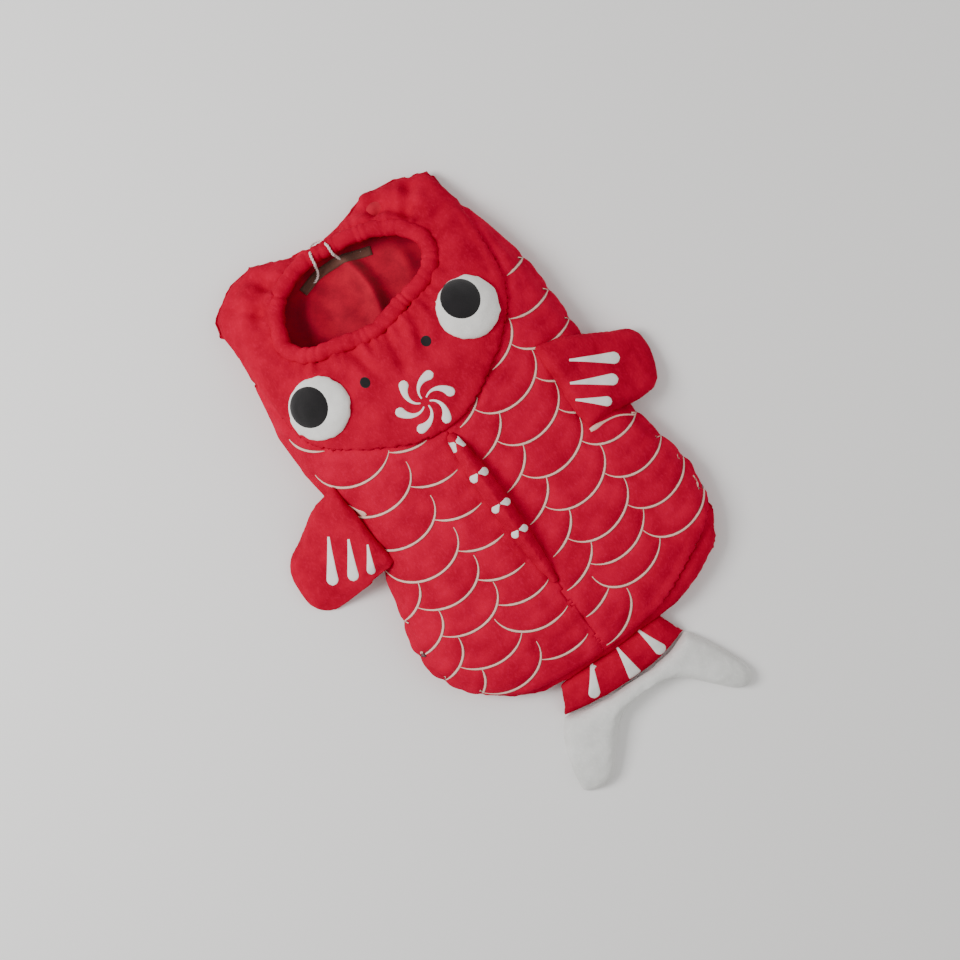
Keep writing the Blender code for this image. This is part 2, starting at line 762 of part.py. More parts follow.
def stuffed(name, plan, rest, thickness, cloth, columns, rows, root=None):
    """A stuffed plate: two skins sewn round their edge and the stuffing between them.

    rest(point, s) is the height of its underside. root is (side, run): the side of the plan,
    "s-", "s+" or "t+", that it turns on, and the way out there, where the skins end in a wedge.
    Returns the top skin, as an applique needs it.
    """

    def at_root(s, t):
        return root is not None and root[0] in (
            "s-" if s == columns[0] else "",
            "s+" if s == columns[-1] else "",
            "t+" if t == rows[-1] else "",
        )

    def skin(side):
        def at_depth(depth):
            def place(s, t):
                swell = math.sqrt(max(1 - s**4, 0)) * math.sqrt(max(1 - t**4, 0))
                half = PLATE_EDGE + (thickness / 2 - PLATE_EDGE) * swell
                point = plan(s, t)
                point.z = rest(point, s) + half + side * (half - depth)
                if at_root(s, t):
                    point += root[1] * min(max(depth, 0), FLEECE)
                return point

            return place

        return at_depth

    top, under = skin(1), skin(-1)
    slab(name + "_front", top(0), top(FLEECE), columns, rows, cloth)
    slab(name + "_back", under(FLEECE), under(0), columns, rows, cloth)
    inset = FLEECE + GAP
    slab(name + "_stuffing", top(inset), under(inset), columns[1:-1], rows[1:-1], "wadding")
    return slab, top, columns, rows


FIN_LIE = 0.0008  # how closely a side fin lies on the body's side
FIN_DROOP = 0.55  # the steepest that a side fin falls, as rise over run

LEFT_FIN_PLAN = field(
    low=[at(-254, 6), at(-241, -14), at(-213, -20), at(-172, -17), at(-136, -13)],
    right=[at(-136, -13), at(-138, 30), at(-140, 70), at(-142, 104)],
    high=[at(-240, 66), at(-212, 81), at(-178, 98), at(-142, 104)],
    left=[at(-254, 6), at(-253.9, 28), at(-250, 50), at(-240, 66)],
)
RIGHT_FIN_PLAN = field(
    low=[at(131, -17), at(165, -19), at(205, -27), at(232, -23), at(246, -4)],
    right=[at(246, -4), at(253, 18), at(253.5, 36), at(246, 52)],
    high=[at(134, 98), at(170, 90), at(212, 70), at(246, 52)],
    left=[at(131, -17), at(131, 20), at(132, 60), at(134, 98)],
)
LEFT_FIN_DROPS = [(at(-183, 58), at(-214, 9), 1.0), (at(-165, 42), at(-190, -1), 0.95),
                  (at(-150, 24), at(-168, -7), 0.72)]
RIGHT_FIN_DROPS = [(at(160, 60), at(212, 29), 1.0), (at(145, 38), at(195, 10), 0.98),
                   (at(139, 19), at(173, -7), 0.82)]


def lie_over_body(point):
    """The height that cloth lies at there: on the body's side, and past it falling to the floor."""
    best = 0.0
    for step in range(26):
        reach = point.x * step / 50
        for y in (-0.006, 0, 0.006):
            ground = drop_onto(BAG, Vector((point.x - reach, point.y + y, 0)))
            if ground:
                best = max(best, ground + FIN_LIE - FIN_DROOP * abs(reach))
    return best


def fin_root(plan, s):
    """The straight line, clear of the body, that a side fin turns on, as heights over y."""
    ends = [plan(s, -0.8), plan(s, 0.8)]
    heights = [lie_over_body(point) for point in ends]
    slope = (heights[1] - heights[0]) / (ends[1].y - ends[0].y)

    def line(y):
        return heights[0] + slope * (y - ends[0].y)

    places = [plan(s, t / 10) for t in range(-10, 11)]
    need = max(lie_over_body(point) - line(point.y) for point in places)
    return lambda y: line(y) + need


def least_room(underside, columns, rows):
    """The smallest height over the body of a grid of flat facets, with the underside's corners."""
    least = 1
    for west, east in zip(columns, columns[1:]):
        for south, north in zip(rows, rows[1:]):
            low = [underside(west, south), underside(east, south)]
            high = [underside(west, north), underside(east, north)]
            for k in range(25):
                across, up = k % 5 / 4, k // 5 / 4
                point = low[0].lerp(low[1], across).lerp(high[0].lerp(high[1], across), up)
                least = min(least, point.z - drop_onto(BAG, point, -1))
    return least


FIN_COLUMNS = crowded(8)
FIN_ROWS = crowded(6)


def build_fin(side, plan, root_s, drops):
    """A side fin: it leaves the body at its root and lies over the body's side to the floor."""
    root = fin_root(plan, root_s)

    def rest(point, s):
        near = max(1 - abs(s - root_s) / 0.35, 0)
        lie = lie_over_body(point)
        return max(lie * (1 - near) + max(root(point.y), lie) * near - settle, 0)

    def corner(s, t):
        point = plan(s, t)
        point.z = rest(point, s)
        return point

    settle = 0
    settle = least_room(corner, FIN_COLUMNS, FIN_ROWS) - FIN_LIE

    turned = ("s+" if root_s > 0 else "s-", Vector((root_s, 0, 0)))
    skin = stuffed(side + "_fin", plan, rest, FIN_THICKNESS, "plain_fleece", FIN_COLUMNS, FIN_ROWS, turned)
    for number, (tip, end, size) in enumerate(drops):
        applique(f"{side}_fin_drop_{number + 1}", skin, drop(tip, end, FIN_DROP_WIDTH * size), "white_felt")
    hinge = [plan(root_s, -1), plan(root_s, 1)]
    for point in hinge:
        point.z = root(point.y) - settle + PLATE_EDGE
        point.x += root_s * FLEECE
    return hinge


FIN_HINGES = {
    "left": build_fin("left", LEFT_FIN_PLAN, 1, LEFT_FIN_DROPS),
    "right": build_fin("right", RIGHT_FIN_PLAN, -1, RIGHT_FIN_DROPS),
}

TAIL_HINGE_GAP = 0.0004
TAIL_ROOT = min(bag_plan(s / 20, -1).y for s in range(-10, 11)) - TAIL_HINGE_GAP - FLEECE


def below_root(x, y):
    """A place on the tail: y nominal millimetres from the line that the tail turns on."""
    return Vector((at(x, 0).x, TAIL_ROOT + at(0, y).y, 0))


CUFF_COLUMNS = crowded(8)
CUFF_PLAN = field(
    low=[below_root(-86, -23), below_root(-40, -33), below_root(2, -36), below_root(50, -35),
         below_root(91, -23)],
    right=[below_root(91, -23), below_root(83, -10), below_root(76, 0)],
    high=[below_root(-66, 0), below_root(0, 0), below_root(76, 0)],
    left=[below_root(-86, -23), below_root(-76, -10), below_root(-66, 0)],
)
FORK_SIDE = 0.3  # the share of the fork's columns along each of its outer sides
FORK_PLAN = field(  # s runs from the left tip round to the right tip, and t from the notch outwards
    low=[below_root(-80, -116.4), below_root(-62, -98), below_root(-36, -71), below_root(-13, -58),
         below_root(10, -54), below_root(34, -58), below_root(58, -73), below_root(82, -97),
         below_root(100, -116.4)],
    right=[below_root(100, -116.4), below_root(117, -122.7), below_root(129, -111)],
    high=chained([
        (FORK_SIDE, [below_root(-119, -111), below_root(-118, -89), below_root(-106, -51),
                     below_root(-87, -23.4)]),
        (1 - 2 * FORK_SIDE, [below_root(-87, -23.4), below_root(-40, -33.4), below_root(2, -36.4),
                             below_root(50, -35.4), below_root(92, -23.4)]),
        (FORK_SIDE, [below_root(92, -23.4), below_root(109, -55), below_root(126, -93),
                     below_root(129, -111)]),
    ]),
    left=[below_root(-80, -116.4), below_root(-98, -119), below_root(-119, -111)],
)
FORK_TURN = 1 - 2 * FORK_SIDE  # the columns, from -1 to 1, where the sides meet the root
FORK_SIDE_COLUMNS = [0.54, 0.68, 0.82, 0.94, 1]
FORK_COLUMNS = (
    [-column for column in reversed(FORK_SIDE_COLUMNS)]
    + [FORK_TURN * column for column in CUFF_COLUMNS]  # so that its root edge runs beside the cuff's
    + FORK_SIDE_COLUMNS
)
TAIL_FALL = 0.030  # over this length the tail comes down from its seam to the floor
DROP_SETBACK = 0.004  # from the tail's root to the tips of the cuff's drops


def tail_lift(point, _):
    """The tail's underside: it leaves the bag at its seam and comes down to the floor."""
    share = min(max((TAIL_ROOT - point.y) / TAIL_FALL, 0), 1)
    return (SEAM_HEIGHT - PLATE_EDGE) * (1 - share) ** 2 * (1 + 2 * share)


def build_tail():
    """The red cuff with its drops and wedge, and the white fork."""
    turned = ("t+", Vector((0, 1, 0)))
    skin = stuffed("tail_cuff", CUFF_PLAN, tail_lift, CUFF_THICKNESS, "plain_fleece", CUFF_COLUMNS,
                   crowded(4), turned)
    stuffed("tail_fork", FORK_PLAN, tail_lift, FORK_THICKNESS, "white_fleece", FORK_COLUMNS, crowded(6))
    for side, x, turn in (("left", -25, -18), ("right", 45, 14)):
        run = Vector((math.sin(math.radians(turn)), -math.cos(math.radians(turn)), 0))
        tip = below_root(x, 0) - Vector((0, DROP_SETBACK, 0))
        outline = drop(tip, tip + run * CUFF_DROP_LENGTH, CUFF_DROP_WIDTH)
        applique(side + "_cuff_drop", skin, outline, "white_felt")
    top = below_root(9, 0) - Vector((0, DROP_SETBACK, 0))
    foot = below_root(9, -60)
    half = Vector((WEDGE_HALF_WIDTH, 0, 0))
    wedge = [top - half * 0.15, foot - half * 1.7, foot + half * 1.7, top + half * 0.15]
    applique("cuff_wedge", skin, wedge, "white_felt")


build_tail()


# ---------------------------------------------------------------- neck tape and hanging cord

TAPE_LINE = [at(-42, 309), at(-14, 316), at(18, 313), at(52, 303)]


def build_tape():
    """The brown tape sewn inside the back of the mouth, on the lining."""
    middle = even(TAPE_LINE, 9)
    half = TAPE_WIDTH / 2
    outline = moved_out(middle, half, closed=False) + moved_out(middle, -half, closed=False)[::-1]
    skin = (slab, lambda depth: back(LINING_INNER - depth), COLUMNS, ROWS)
    return applique("neck_tape", skin, outline, "brown_tape", TAPE_THICKNESS)


TAPE = surface_of(build_tape())

# The cord's route. ("lie", x, y, lift) is at that nominal place, lift millimetres over what is under it,
# and ("wrap", x, turn) goes round the mouth band at x: 0 degrees is beside it in the mouth, 90 on top.
CORD_ROUTE = [
    ("lie", -40, 309.2, 0), ("lie", -30, 310, 0), ("lie", -20.5, 312, 2), ("lie", -14.5, 316.5, 9),
    ("wrap", -12.5, -25), ("wrap", -11.5, 30), ("wrap", -10.5, 75), ("wrap", -9, 112), ("lie", -5, 343.3, 0),
    ("lie", 2.5, 346.5, 0), ("lie", 10, 343.3, 0), ("wrap", 13, 112), ("wrap", 12.5, 75), ("wrap", 12.5, 30),
    ("wrap", 13.5, -25), ("lie", 16, 314.5, 9), ("lie", 21.5, 311.5, 2), ("lie", 31, 310, 0),
    ("lie", 41, 308.8, 0),
]
CORD_POINTS = 30


def rim_at(x):
    """The middle of the mouth band at the back of the mouth, at that place across the carp."""
    back_half = sorted((p for p in mouth_rim if p.y > at(0, 300).y), key=lambda p: p.x)
    for before, after in zip(back_half, back_half[1:]):
        if before.x <= x <= after.x:
            return before.lerp(after, (x - before.x) / (after.x - before.x))
    return back_half[0]


def cord_point(kind, x, value, lift=0):
    """One point of the cord's route."""
    radius = CORD_DIAMETER / 2
    if kind == "wrap":
        turn = math.radians(value)
        reach = BAND_RADIUS + radius + CORD_LIE
        return rim_at(at(x, 0).x) + Vector((0, -math.cos(turn), math.sin(turn))) * reach
    point = at(x, value)
    for step in range(8):
        turn = step * math.pi / 4
        probe = point + Vector((math.cos(turn), math.sin(turn), 0)) * radius
        point.z = max([point.z] + [drop_onto(tree, probe) for tree in (HEAD, LINED_BACK, TAPE)])
    point.z += radius + CORD_LIE + lift / 1000
    return point


def build_cord():
    """The white hanging cord, a tube along its route."""
    path = even([cord_point(*stop) for stop in CORD_ROUTE], CORD_POINTS)
    curve = bpy.data.curves.new("hanging_cord", "CURVE")
    curve.dimensions = "3D"
    curve.bevel_depth = CORD_DIAMETER / 2
    curve.bevel_resolution = 2
    curve.use_fill_caps = True
    line = curve.splines.new("POLY")
    line.points.add(len(path) - 1)
    for target, point in zip(line.points, path):
        target.co = (*point, 1)
    curve.materials.append(MATERIALS["cord"])
    bpy.context.scene.collection.objects.link(bpy.data.objects.new("hanging_cord", curve))


build_cord()

# ---------------------------------------------------------------- origins on the joints

TAIL_AXIS = [Vector((at(x, 0).x, TAIL_ROOT + FLEECE, SEAM_HEIGHT)) for x in (-60, 70)]
LOOP_AXIS = [rim_at(at(x, 0).x) for x in (-12.5, 12)]
JOINTS = {  # the start of a moving piece's name: the two ends of the line that it turns on
    "left_fin": FIN_HINGES["left"],
    "right_fin": FIN_HINGES["right"],
    "back_fin": DORSAL_AXIS,
    "left_back_fin": DORSAL_AXIS,
    "right_back_fin": DORSAL_AXIS,
    "tail": TAIL_AXIS,
    "left_cuff": TAIL_AXIS,
    "right_cuff": TAIL_AXIS,
    "cuff": TAIL_AXIS,
    "hanging": LOOP_AXIS,
}


def place_origins():
    """Puts the origin of every moving piece in the middle of the line that it turns on."""
    for piece in bpy.data.objects:
        for start, ends in JOINTS.items():
            if piece.name.startswith(start + "_"):
                pivot = ends[0].lerp(ends[1], 0.5)
                piece.data.transform(Matrix.Translation(-pivot))
                piece.location = pivot


place_origins()
for title, ends in JOINTS.items():
    print(title, [[round(value, 5) for value in end] for end in ends])
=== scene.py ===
# %% [markdown]
# # A padded fleece carp
# This is a soft carp streamer for a festival. It is a quilted bag of brushed red fleece with a
# gathered open mouth, stuffed fins, a back fin and a forked tail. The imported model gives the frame:
# every place below is read from it or measured in its metres, with the head at +Y and +Z up.

# %% The frame
import math

import bmesh
import bpy
import numpy as np
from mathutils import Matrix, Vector, noise
from mathutils.bvhtree import BVHTree
from mathutils.kdtree import KDTree


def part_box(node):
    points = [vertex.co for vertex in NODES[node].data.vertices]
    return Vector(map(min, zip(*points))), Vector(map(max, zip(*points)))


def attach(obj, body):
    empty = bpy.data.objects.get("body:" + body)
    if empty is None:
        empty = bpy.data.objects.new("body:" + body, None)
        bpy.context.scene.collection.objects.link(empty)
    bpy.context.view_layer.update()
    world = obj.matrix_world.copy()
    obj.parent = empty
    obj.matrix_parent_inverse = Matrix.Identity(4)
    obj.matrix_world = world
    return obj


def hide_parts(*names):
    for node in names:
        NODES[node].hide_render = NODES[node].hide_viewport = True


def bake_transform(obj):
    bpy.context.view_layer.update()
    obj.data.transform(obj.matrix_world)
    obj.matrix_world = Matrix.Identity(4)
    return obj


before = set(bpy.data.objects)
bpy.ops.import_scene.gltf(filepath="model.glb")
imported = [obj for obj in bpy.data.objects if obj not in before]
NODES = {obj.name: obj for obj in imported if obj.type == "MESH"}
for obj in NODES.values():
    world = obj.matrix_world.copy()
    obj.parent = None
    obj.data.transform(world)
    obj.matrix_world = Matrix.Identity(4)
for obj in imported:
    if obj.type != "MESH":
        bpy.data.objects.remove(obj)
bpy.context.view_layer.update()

# %% [markdown]
# ## Camera
# The carp is seen from straight above, turned so that its head points to the upper left. A long
# lens keeps the outline from bulging. It is a plain perspective camera: an orthographic one would
# lose the little lean of the side walls that shows how thick the bag is.

# %% Camera
VIEW_CENTRE = Vector((-0.0023, 0.0087, 0))
VIEW_TURN_DEG = -35.8
VIEW_WIDTH = 1.119  # metres across the picture at the height of the seams
SUBJECT_HEIGHT = 0.03
CAMERA_HEIGHT = 1.75

lens = bpy.data.cameras.new("camera")
lens.sensor_width = 36
lens.lens = lens.sensor_width * (CAMERA_HEIGHT - SUBJECT_HEIGHT) / VIEW_WIDTH
camera = bpy.data.objects.new("camera", lens)
camera.location = (VIEW_CENTRE.x, VIEW_CENTRE.y, CAMERA_HEIGHT)
camera.rotation_euler = (0, 0, math.radians(VIEW_TURN_DEG))
bpy.context.scene.collection.objects.link(camera)
bpy.context.scene.camera = camera
print("lens", round(lens.lens, 1), "mm")

# %% [markdown]
# ## Small helpers
# A colour is written as an sRGB hex code and turned to linear light by one function. One function
# adds a shader node with its settings and links. `smooth_line` turns a few chosen points into an
# even line, which serves the cord, the stitching and the creases alike.

# %% Helpers for colours, nodes and lines
MM = 0.001


def colour(code):
    """An sRGB hex code as linear RGBA."""
    parts = [int(code[i : i + 2], 16) / 255 for i in (0, 2, 4)]
    return (*[p / 12.92 if p <= 0.04045 else ((p + 0.055) / 1.055) ** 2.4 for p in parts], 1)


def add(tree, kind, settings=None, links=None, **values):
    """Adds a node: settings are its properties, links feed its sockets, values fill its sockets."""
    node = tree.nodes.new(kind)
    for name, value in (settings or {}).items():
        setattr(node, name, value)
    for name, source in (links or {}).items():
        socket = node.inputs[name]
        tree.links.new(source if not isinstance(source, bpy.types.Node) else source.outputs[0], socket)
    for name, value in values.items():
        node.inputs[name.replace("_", " ")].default_value = value
    return node


def smooth_line(points, spacing, closed=False):
    """Points at about that spacing along a Catmull-Rom curve through the given points."""
    points = [Vector(p).to_3d() for p in points]
    count = len(points)
    fine = []
    for i in range(count if closed else count - 1):
        if closed:
            a, b, c, d = (points[(i + k) % count] for k in (-1, 0, 1, 2))
        else:
            b, c = points[i], points[i + 1]
            a = points[i - 1] if i else b * 2 - c
            d = points[i + 2] if i + 2 < count else c * 2 - b
        for k in range(24):
            t = k / 24
            fine.append(
                0.5 * (2 * b + (c - a) * t + (2 * a - 5 * b + 4 * c - d) * t * t
                       + (3 * b - 3 * c + d - a) * t**3)
            )
    fine.append(fine[0].copy() if closed else points[-1])
    reach = np.concatenate([[0], np.cumsum([(q - p).length for p, q in zip(fine, fine[1:])])])
    steps = max(int(round(reach[-1] / spacing)), 2)
    goals = np.linspace(0, reach[-1], steps + 1)[: steps if closed else None]
    spots = np.array(fine)
    return [Vector([np.interp(g, reach, spots[:, k]) for k in range(3)]) for g in goals]


def length_of(line):
    """The length of a line of points."""
    return sum((b - a).length for a, b in zip(line, line[1:]))


# %% Helpers for meshes
def mesh_from(bm, name):
    """Writes a bmesh into a new mesh and frees it."""
    mesh = bpy.data.meshes.new(name)
    bm.to_mesh(mesh)
    bm.free()
    return mesh


def covered_in(piece, material):
    """Gives a piece its one material and shades it smooth."""
    piece.data.materials.clear()
    piece.data.materials.append(material)
    piece.data.shade_smooth()


def new_object(name, mesh, material):
    """A mesh as an object at the origin, with its material, shaded smooth."""
    piece = bpy.data.objects.new(name, mesh)
    bpy.context.scene.collection.objects.link(piece)
    covered_in(piece, material)
    return piece


def thickened(piece, thickness):
    """Gives a sheet the thickness of its cloth, inwards, which also closes its edges."""
    wall = piece.modifiers.new("cloth", "SOLIDIFY")
    wall.thickness = thickness
    wall.offset = -1
    wall.use_even_offset = False
    return piece


def coordinates(mesh):
    """The vertices of a mesh as an array."""
    spots = np.empty(len(mesh.vertices) * 3, dtype=np.float32)
    mesh.vertices.foreach_get("co", spots)
    return spots.reshape(-1, 3).astype(np.float64)


def set_coordinates(mesh, spots):
    """Writes an array back to the vertices."""
    mesh.vertices.foreach_set("co", spots.astype(np.float32).ravel())
    mesh.update()


def evaluated(piece):
    """The piece's mesh with its modifiers."""
    graph = bpy.context.evaluated_depsgraph_get()
    return bpy.data.meshes.new_from_object(piece.evaluated_get(graph))


def node_tree_of(names):
    """A search tree of the faces of some CAD nodes."""
    bm = bmesh.new()
    for name in names:
        bm.from_mesh(NODES[name].data)
    tree = BVHTree.FromBMesh(bm)
    bm.free()
    return tree


# %% [markdown]
# ## Fleece
# Polyester fleece is knitted, then brushed until its loops break into a soft pile about 2 mm long.
# The pile hides the knit, scatters light at grazing angles (sheen) and lies in small patches that
# look lighter or darker. The clumps are drawn 2.6 mm wide, a little coarser than real ones, so that
# they show from above.

# %% Brushed fleece
CLUMP = 2.6 * MM
PATCH = 34 * MM


def new_material(name, **values):
    """A new material, its nodes and its shader, with plain values for some of the shader's sockets."""
    material = bpy.data.materials.new(name)
    material.use_nodes = True
    shader = material.node_tree.nodes["Principled BSDF"]
    for socket, value in values.items():
        shader.inputs[socket.replace("_", " ")].default_value = value
    return material, material.node_tree, shader


def two_shades(tree, factor, dark, light):
    """Mixes two colours by a factor; a colour is an sRGB hex code or another node's output."""
    mixed = add(tree, "ShaderNodeMix", {"data_type": "RGBA"}, {"Factor": factor})
    for socket, shade in ((mixed.inputs[6], dark), (mixed.inputs[7], light)):
        if isinstance(shade, str):
            socket.default_value = colour(shade)
        else:
            tree.links.new(shade, socket)
    return mixed.outputs[2]


def brushed_fleece(name, base, dark, light, sheen, slant=0.0):
    """Brushed fleece in three shades, its pile clumps as bump."""
    material, tree, shader = new_material(
        name, Roughness=0.92, Specular_IOR_Level=0.06, Sheen_Weight=sheen, Sheen_Roughness=0.42,
        Sheen_Tint=colour(light))
    place = add(tree, "ShaderNodeTexCoord").outputs["Object"]
    nap = add(tree, "ShaderNodeMapping", links={"Vector": place}, Rotation=(0, 0, slant),
              Scale=(1, 0.55, 1))
    clumps = add(tree, "ShaderNodeTexNoise", links={"Vector": nap}, Scale=1 / CLUMP, Detail=3,
                 Roughness=0.62)
    hairs = add(tree, "ShaderNodeTexNoise", links={"Vector": nap}, Scale=3.1 / CLUMP, Detail=2,
                Roughness=0.7)
    patches = add(tree, "ShaderNodeTexNoise", links={"Vector": place}, Scale=1 / PATCH, Detail=3,
                  Roughness=0.55)
    lie = add(tree, "ShaderNodeMapRange", links={"Value": patches.outputs["Fac"]}, From_Min=0.35,
              From_Max=0.68)
    tips = add(tree, "ShaderNodeMapRange", links={"Value": clumps.outputs["Fac"]}, From_Min=0.5,
               From_Max=0.78, To_Max=0.45)
    shades = two_shades(tree, tips, two_shades(tree, lie, dark, base), light)
    tree.links.new(shades, shader.inputs["Base Color"])
    pile = add(tree, "ShaderNodeBump", links={"Height": clumps.outputs["Fac"]}, Strength=0.55,
               Distance=0.9 * MM)
    fuzz = add(tree, "ShaderNodeBump", links={"Height": hairs.outputs["Fac"], "Normal": pile}, Strength=0.4,
               Distance=0.35 * MM)
    tree.links.new(fuzz.outputs[0], shader.inputs["Normal"])
    return material


RED_SCALED = brushed_fleece("brushed red fleece, scaled", "C80034", "AE002A", "D80846", 0.08)
RED_PLAIN = brushed_fleece("brushed red fleece, plain", "C00030", "A40026", "D20640", 0.08, slant=0.5)
WHITE_PILE = brushed_fleece("brushed white fleece", "E4E4E1", "D6D6D3", "F2F2EF", 0.2)

# %% [markdown]
# ## Lining, felt, thread, tape and cord
# The lining is a smooth knitted jersey in a darker red than the fleece. Felt is matted
# fibre with no direction. Embroidery thread lies in even satin stitches side by side, each 0.9 mm
# wide here (a real one is 0.4 mm, too fine to show). The tape is a flat woven cotton twill.

# %% Other cloths


def plain_cloth(name, base, dark, grain, depth, roughness, sheen):
    """A short-napped cloth: a fine grain as bump and a soft mottling."""
    material, tree, shader = new_material(name, Roughness=roughness, Specular_IOR_Level=0.25,
                                          Sheen_Weight=sheen, Sheen_Roughness=0.5)
    place = add(tree, "ShaderNodeTexCoord").outputs["Object"]
    fibres = add(tree, "ShaderNodeTexNoise", links={"Vector": place}, Scale=1 / grain, Detail=4,
                 Roughness=0.65)
    blotches = add(tree, "ShaderNodeTexNoise", links={"Vector": place}, Scale=0.09 / grain, Detail=2)
    mixed = add(tree, "ShaderNodeMath", {"operation": "MULTIPLY_ADD"},
                {0: fibres.outputs["Fac"], 2: blotches.outputs["Fac"]})
    mixed.inputs[1].default_value = 0.6
    mottling = add(tree, "ShaderNodeMapRange", links={"Value": mixed}, From_Min=0.55, From_Max=1.0)
    tree.links.new(two_shades(tree, mottling, dark, base), shader.inputs["Base Color"])
    bump = add(tree, "ShaderNodeBump", links={"Height": fibres.outputs["Fac"]}, Strength=0.5,
               Distance=depth)
    tree.links.new(bump.outputs[0], shader.inputs["Normal"])
    return material


def threads(name, base, dark, pitch, slope, roughness, sheen):
    """Threads side by side across a strip: its UV map is in metres, u along it and v across it."""
    material, tree, shader = new_material(name, Roughness=roughness, Sheen_Weight=sheen)
    place = add(tree, "ShaderNodeUVMap", {"uv_map": "strip"})
    leaning = add(tree, "ShaderNodeMapping", links={"Vector": place}, Rotation=(0, 0, slope))
    ridges = add(tree, "ShaderNodeTexWave", {"wave_type": "BANDS", "bands_direction": "X"},
                 {"Vector": leaning}, Scale=math.pi / 10 / pitch, Distortion=0.6, Detail=1)
    shades = two_shades(tree, ridges.outputs["Fac"], dark, base)
    tree.links.new(shades, shader.inputs["Base Color"])
    bump = add(tree, "ShaderNodeBump", links={"Height": ridges.outputs["Fac"]}, Strength=0.6,
               Distance=0.3 * MM)
    tree.links.new(bump.outputs[0], shader.inputs["Normal"])
    return material


LINING = plain_cloth("knitted red lining", "BE002C", "980022", 1.6 * MM, 0.3 * MM, 0.85, 0.1)
WHITE_FELT = plain_cloth("white felt", "F0EEEA", "E0DEDA", 1.9 * MM, 0.35 * MM, 0.92, 0.2)
BLACK_FELT = plain_cloth("black felt", "171416", "0C0A0C", 1.7 * MM, 0.35 * MM, 0.88, 0.35)
STITCHING = threads("satin stitch, pale pink thread", "F6CDBE", "E8AE9C", 0.9 * MM, 0.35, 0.6, 0.3)
# The dark red strip is painted shadow along the edges of the scale stitching, given a thread texture.
PAINTED_STITCH_SHADOW = threads("painted stitch shadow, dark red", "6E0A1C", "520816", 0.9 * MM, 0.35, 0.7, 0.2)
TAPE_TWILL = threads("woven cotton tape", "764A3C", "583327", 1.1 * MM, 0.8, 0.85, 0.1)
CORD_COTTON = plain_cloth("twisted cotton cord", "EDE2DE", "D8C6C2", 0.8 * MM, 0.2 * MM, 0.85, 0.3)
print("materials", len(bpy.data.materials))

# %% [markdown]
# ## Hanging cord
# Two plies of cotton are twisted into a limp 3.4 mm cord. It leaves the lining at the back of the
# mouth, climbs over the gathered band, makes a small loop behind it for a hook, and goes back in.
# A bevelled curve could stand for it, but two twisted strands show the lay of a real cord, so each
# ply is a helix about the route, made a mesh.

# %% Cord
CORD_DIAMETER = 3.4 * MM
CORD_STOPS = [
    (-0.0400, 0.3092, 0.0125), (-0.0300, 0.3100, 0.0125), (-0.0205, 0.3120, 0.0146),
    (-0.0145, 0.3165, 0.0217), (-0.0125, 0.3227, 0.0317), (-0.0115, 0.3230, 0.0405),
    (-0.0105, 0.3287, 0.0449), (-0.0090, 0.3346, 0.0446), (-0.0050, 0.3433, 0.0328),
    (0.0025, 0.3465, 0.0284), (0.0100, 0.3433, 0.0313), (0.0130, 0.3318, 0.0457),
    (0.0125, 0.3258, 0.0460), (0.0125, 0.3201, 0.0416), (0.0135, 0.3195, 0.0329),
    (0.0160, 0.3145, 0.0217), (0.0215, 0.3115, 0.0147), (0.0310, 0.3100, 0.0126),
    (0.0410, 0.3088, 0.0126),
]
CORD_LAY = 8 * MM  # the length of one turn of the twist
CORD_STEP = 0.6 * MM
PLY_RADIUS = CORD_DIAMETER * 0.27
PLY_REACH = CORD_DIAMETER / 2 - PLY_RADIUS

cord_line = smooth_line(CORD_STOPS, CORD_STEP)
cord_route = smooth_line(CORD_STOPS, 4.8 * MM)


def ply(turn):
    """One strand of the cord as a mesh: a helix about the cord's line."""
    curve = bpy.data.curves.new("ply", "CURVE")
    curve.dimensions = "3D"
    curve.bevel_depth = PLY_RADIUS
    curve.bevel_resolution = 2
    curve.use_fill_caps = True
    spline = curve.splines.new("POLY")
    spline.points.add(len(cord_line) - 1)
    side = Vector((0, 0, 1))
    run_length = 0
    for i, point in enumerate(cord_line):
        run = (cord_line[min(i + 1, len(cord_line) - 1)] - cord_line[max(i - 1, 0)]).normalized()
        side = (side - run * side.dot(run)).normalized()
        across = run.cross(side)
        angle = turn + 2 * math.pi * run_length / CORD_LAY
        spot = point + (side * math.cos(angle) + across * math.sin(angle)) * PLY_REACH
        spline.points[i].co = (*spot, 1)
        run_length += CORD_STEP
    holder = bpy.data.objects.new("ply", curve)
    bpy.context.scene.collection.objects.link(holder)
    mesh = evaluated(holder)
    bpy.data.objects.remove(holder)
    return mesh


cord_mesh = bmesh.new()
for start in (0, math.pi):
    cord_mesh.from_mesh(ply(start))
cord = new_object("hanging_cord_strands", mesh_from(cord_mesh, "hanging_cord_strands"), CORD_COTTON)
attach(cord, "bag")
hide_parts("hanging_cord")
print("cord", round(length_of(cord_line) * 1000), "mm")

# %% [markdown]
# ## How padded cloth is made here
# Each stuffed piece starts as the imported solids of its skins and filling. They are joined by a
# voxel remesh, blown up by a short cloth simulation with pressure, and held to a few millimetres of
# movement so that the piece keeps its place. A subdivision then makes room for seams and folds,
# which are pressed in afterwards, because the remesh would wipe out anything finer than a voxel.

# %% Padding helper
FRAMES = 20
PRESSURE = 4.0


def joined(name, nodes, voxel):
    """The CAD solids of those nodes as one remeshed object."""
    bm = bmesh.new()
    for node in nodes:
        bm.from_mesh(NODES[node].data)
    bmesh.ops.remove_doubles(bm, verts=bm.verts[:], dist=1e-5)
    rough = bpy.data.objects.new(name + "_rough", mesh_from(bm, name))
    bpy.context.scene.collection.objects.link(rough)
    remesh = rough.modifiers.new("voxels", "REMESH")
    remesh.mode = "VOXEL"
    remesh.voxel_size = voxel
    clean = bpy.data.objects.new(name, evaluated(rough))
    bpy.data.objects.remove(rough)
    bpy.context.scene.collection.objects.link(clean)
    return clean


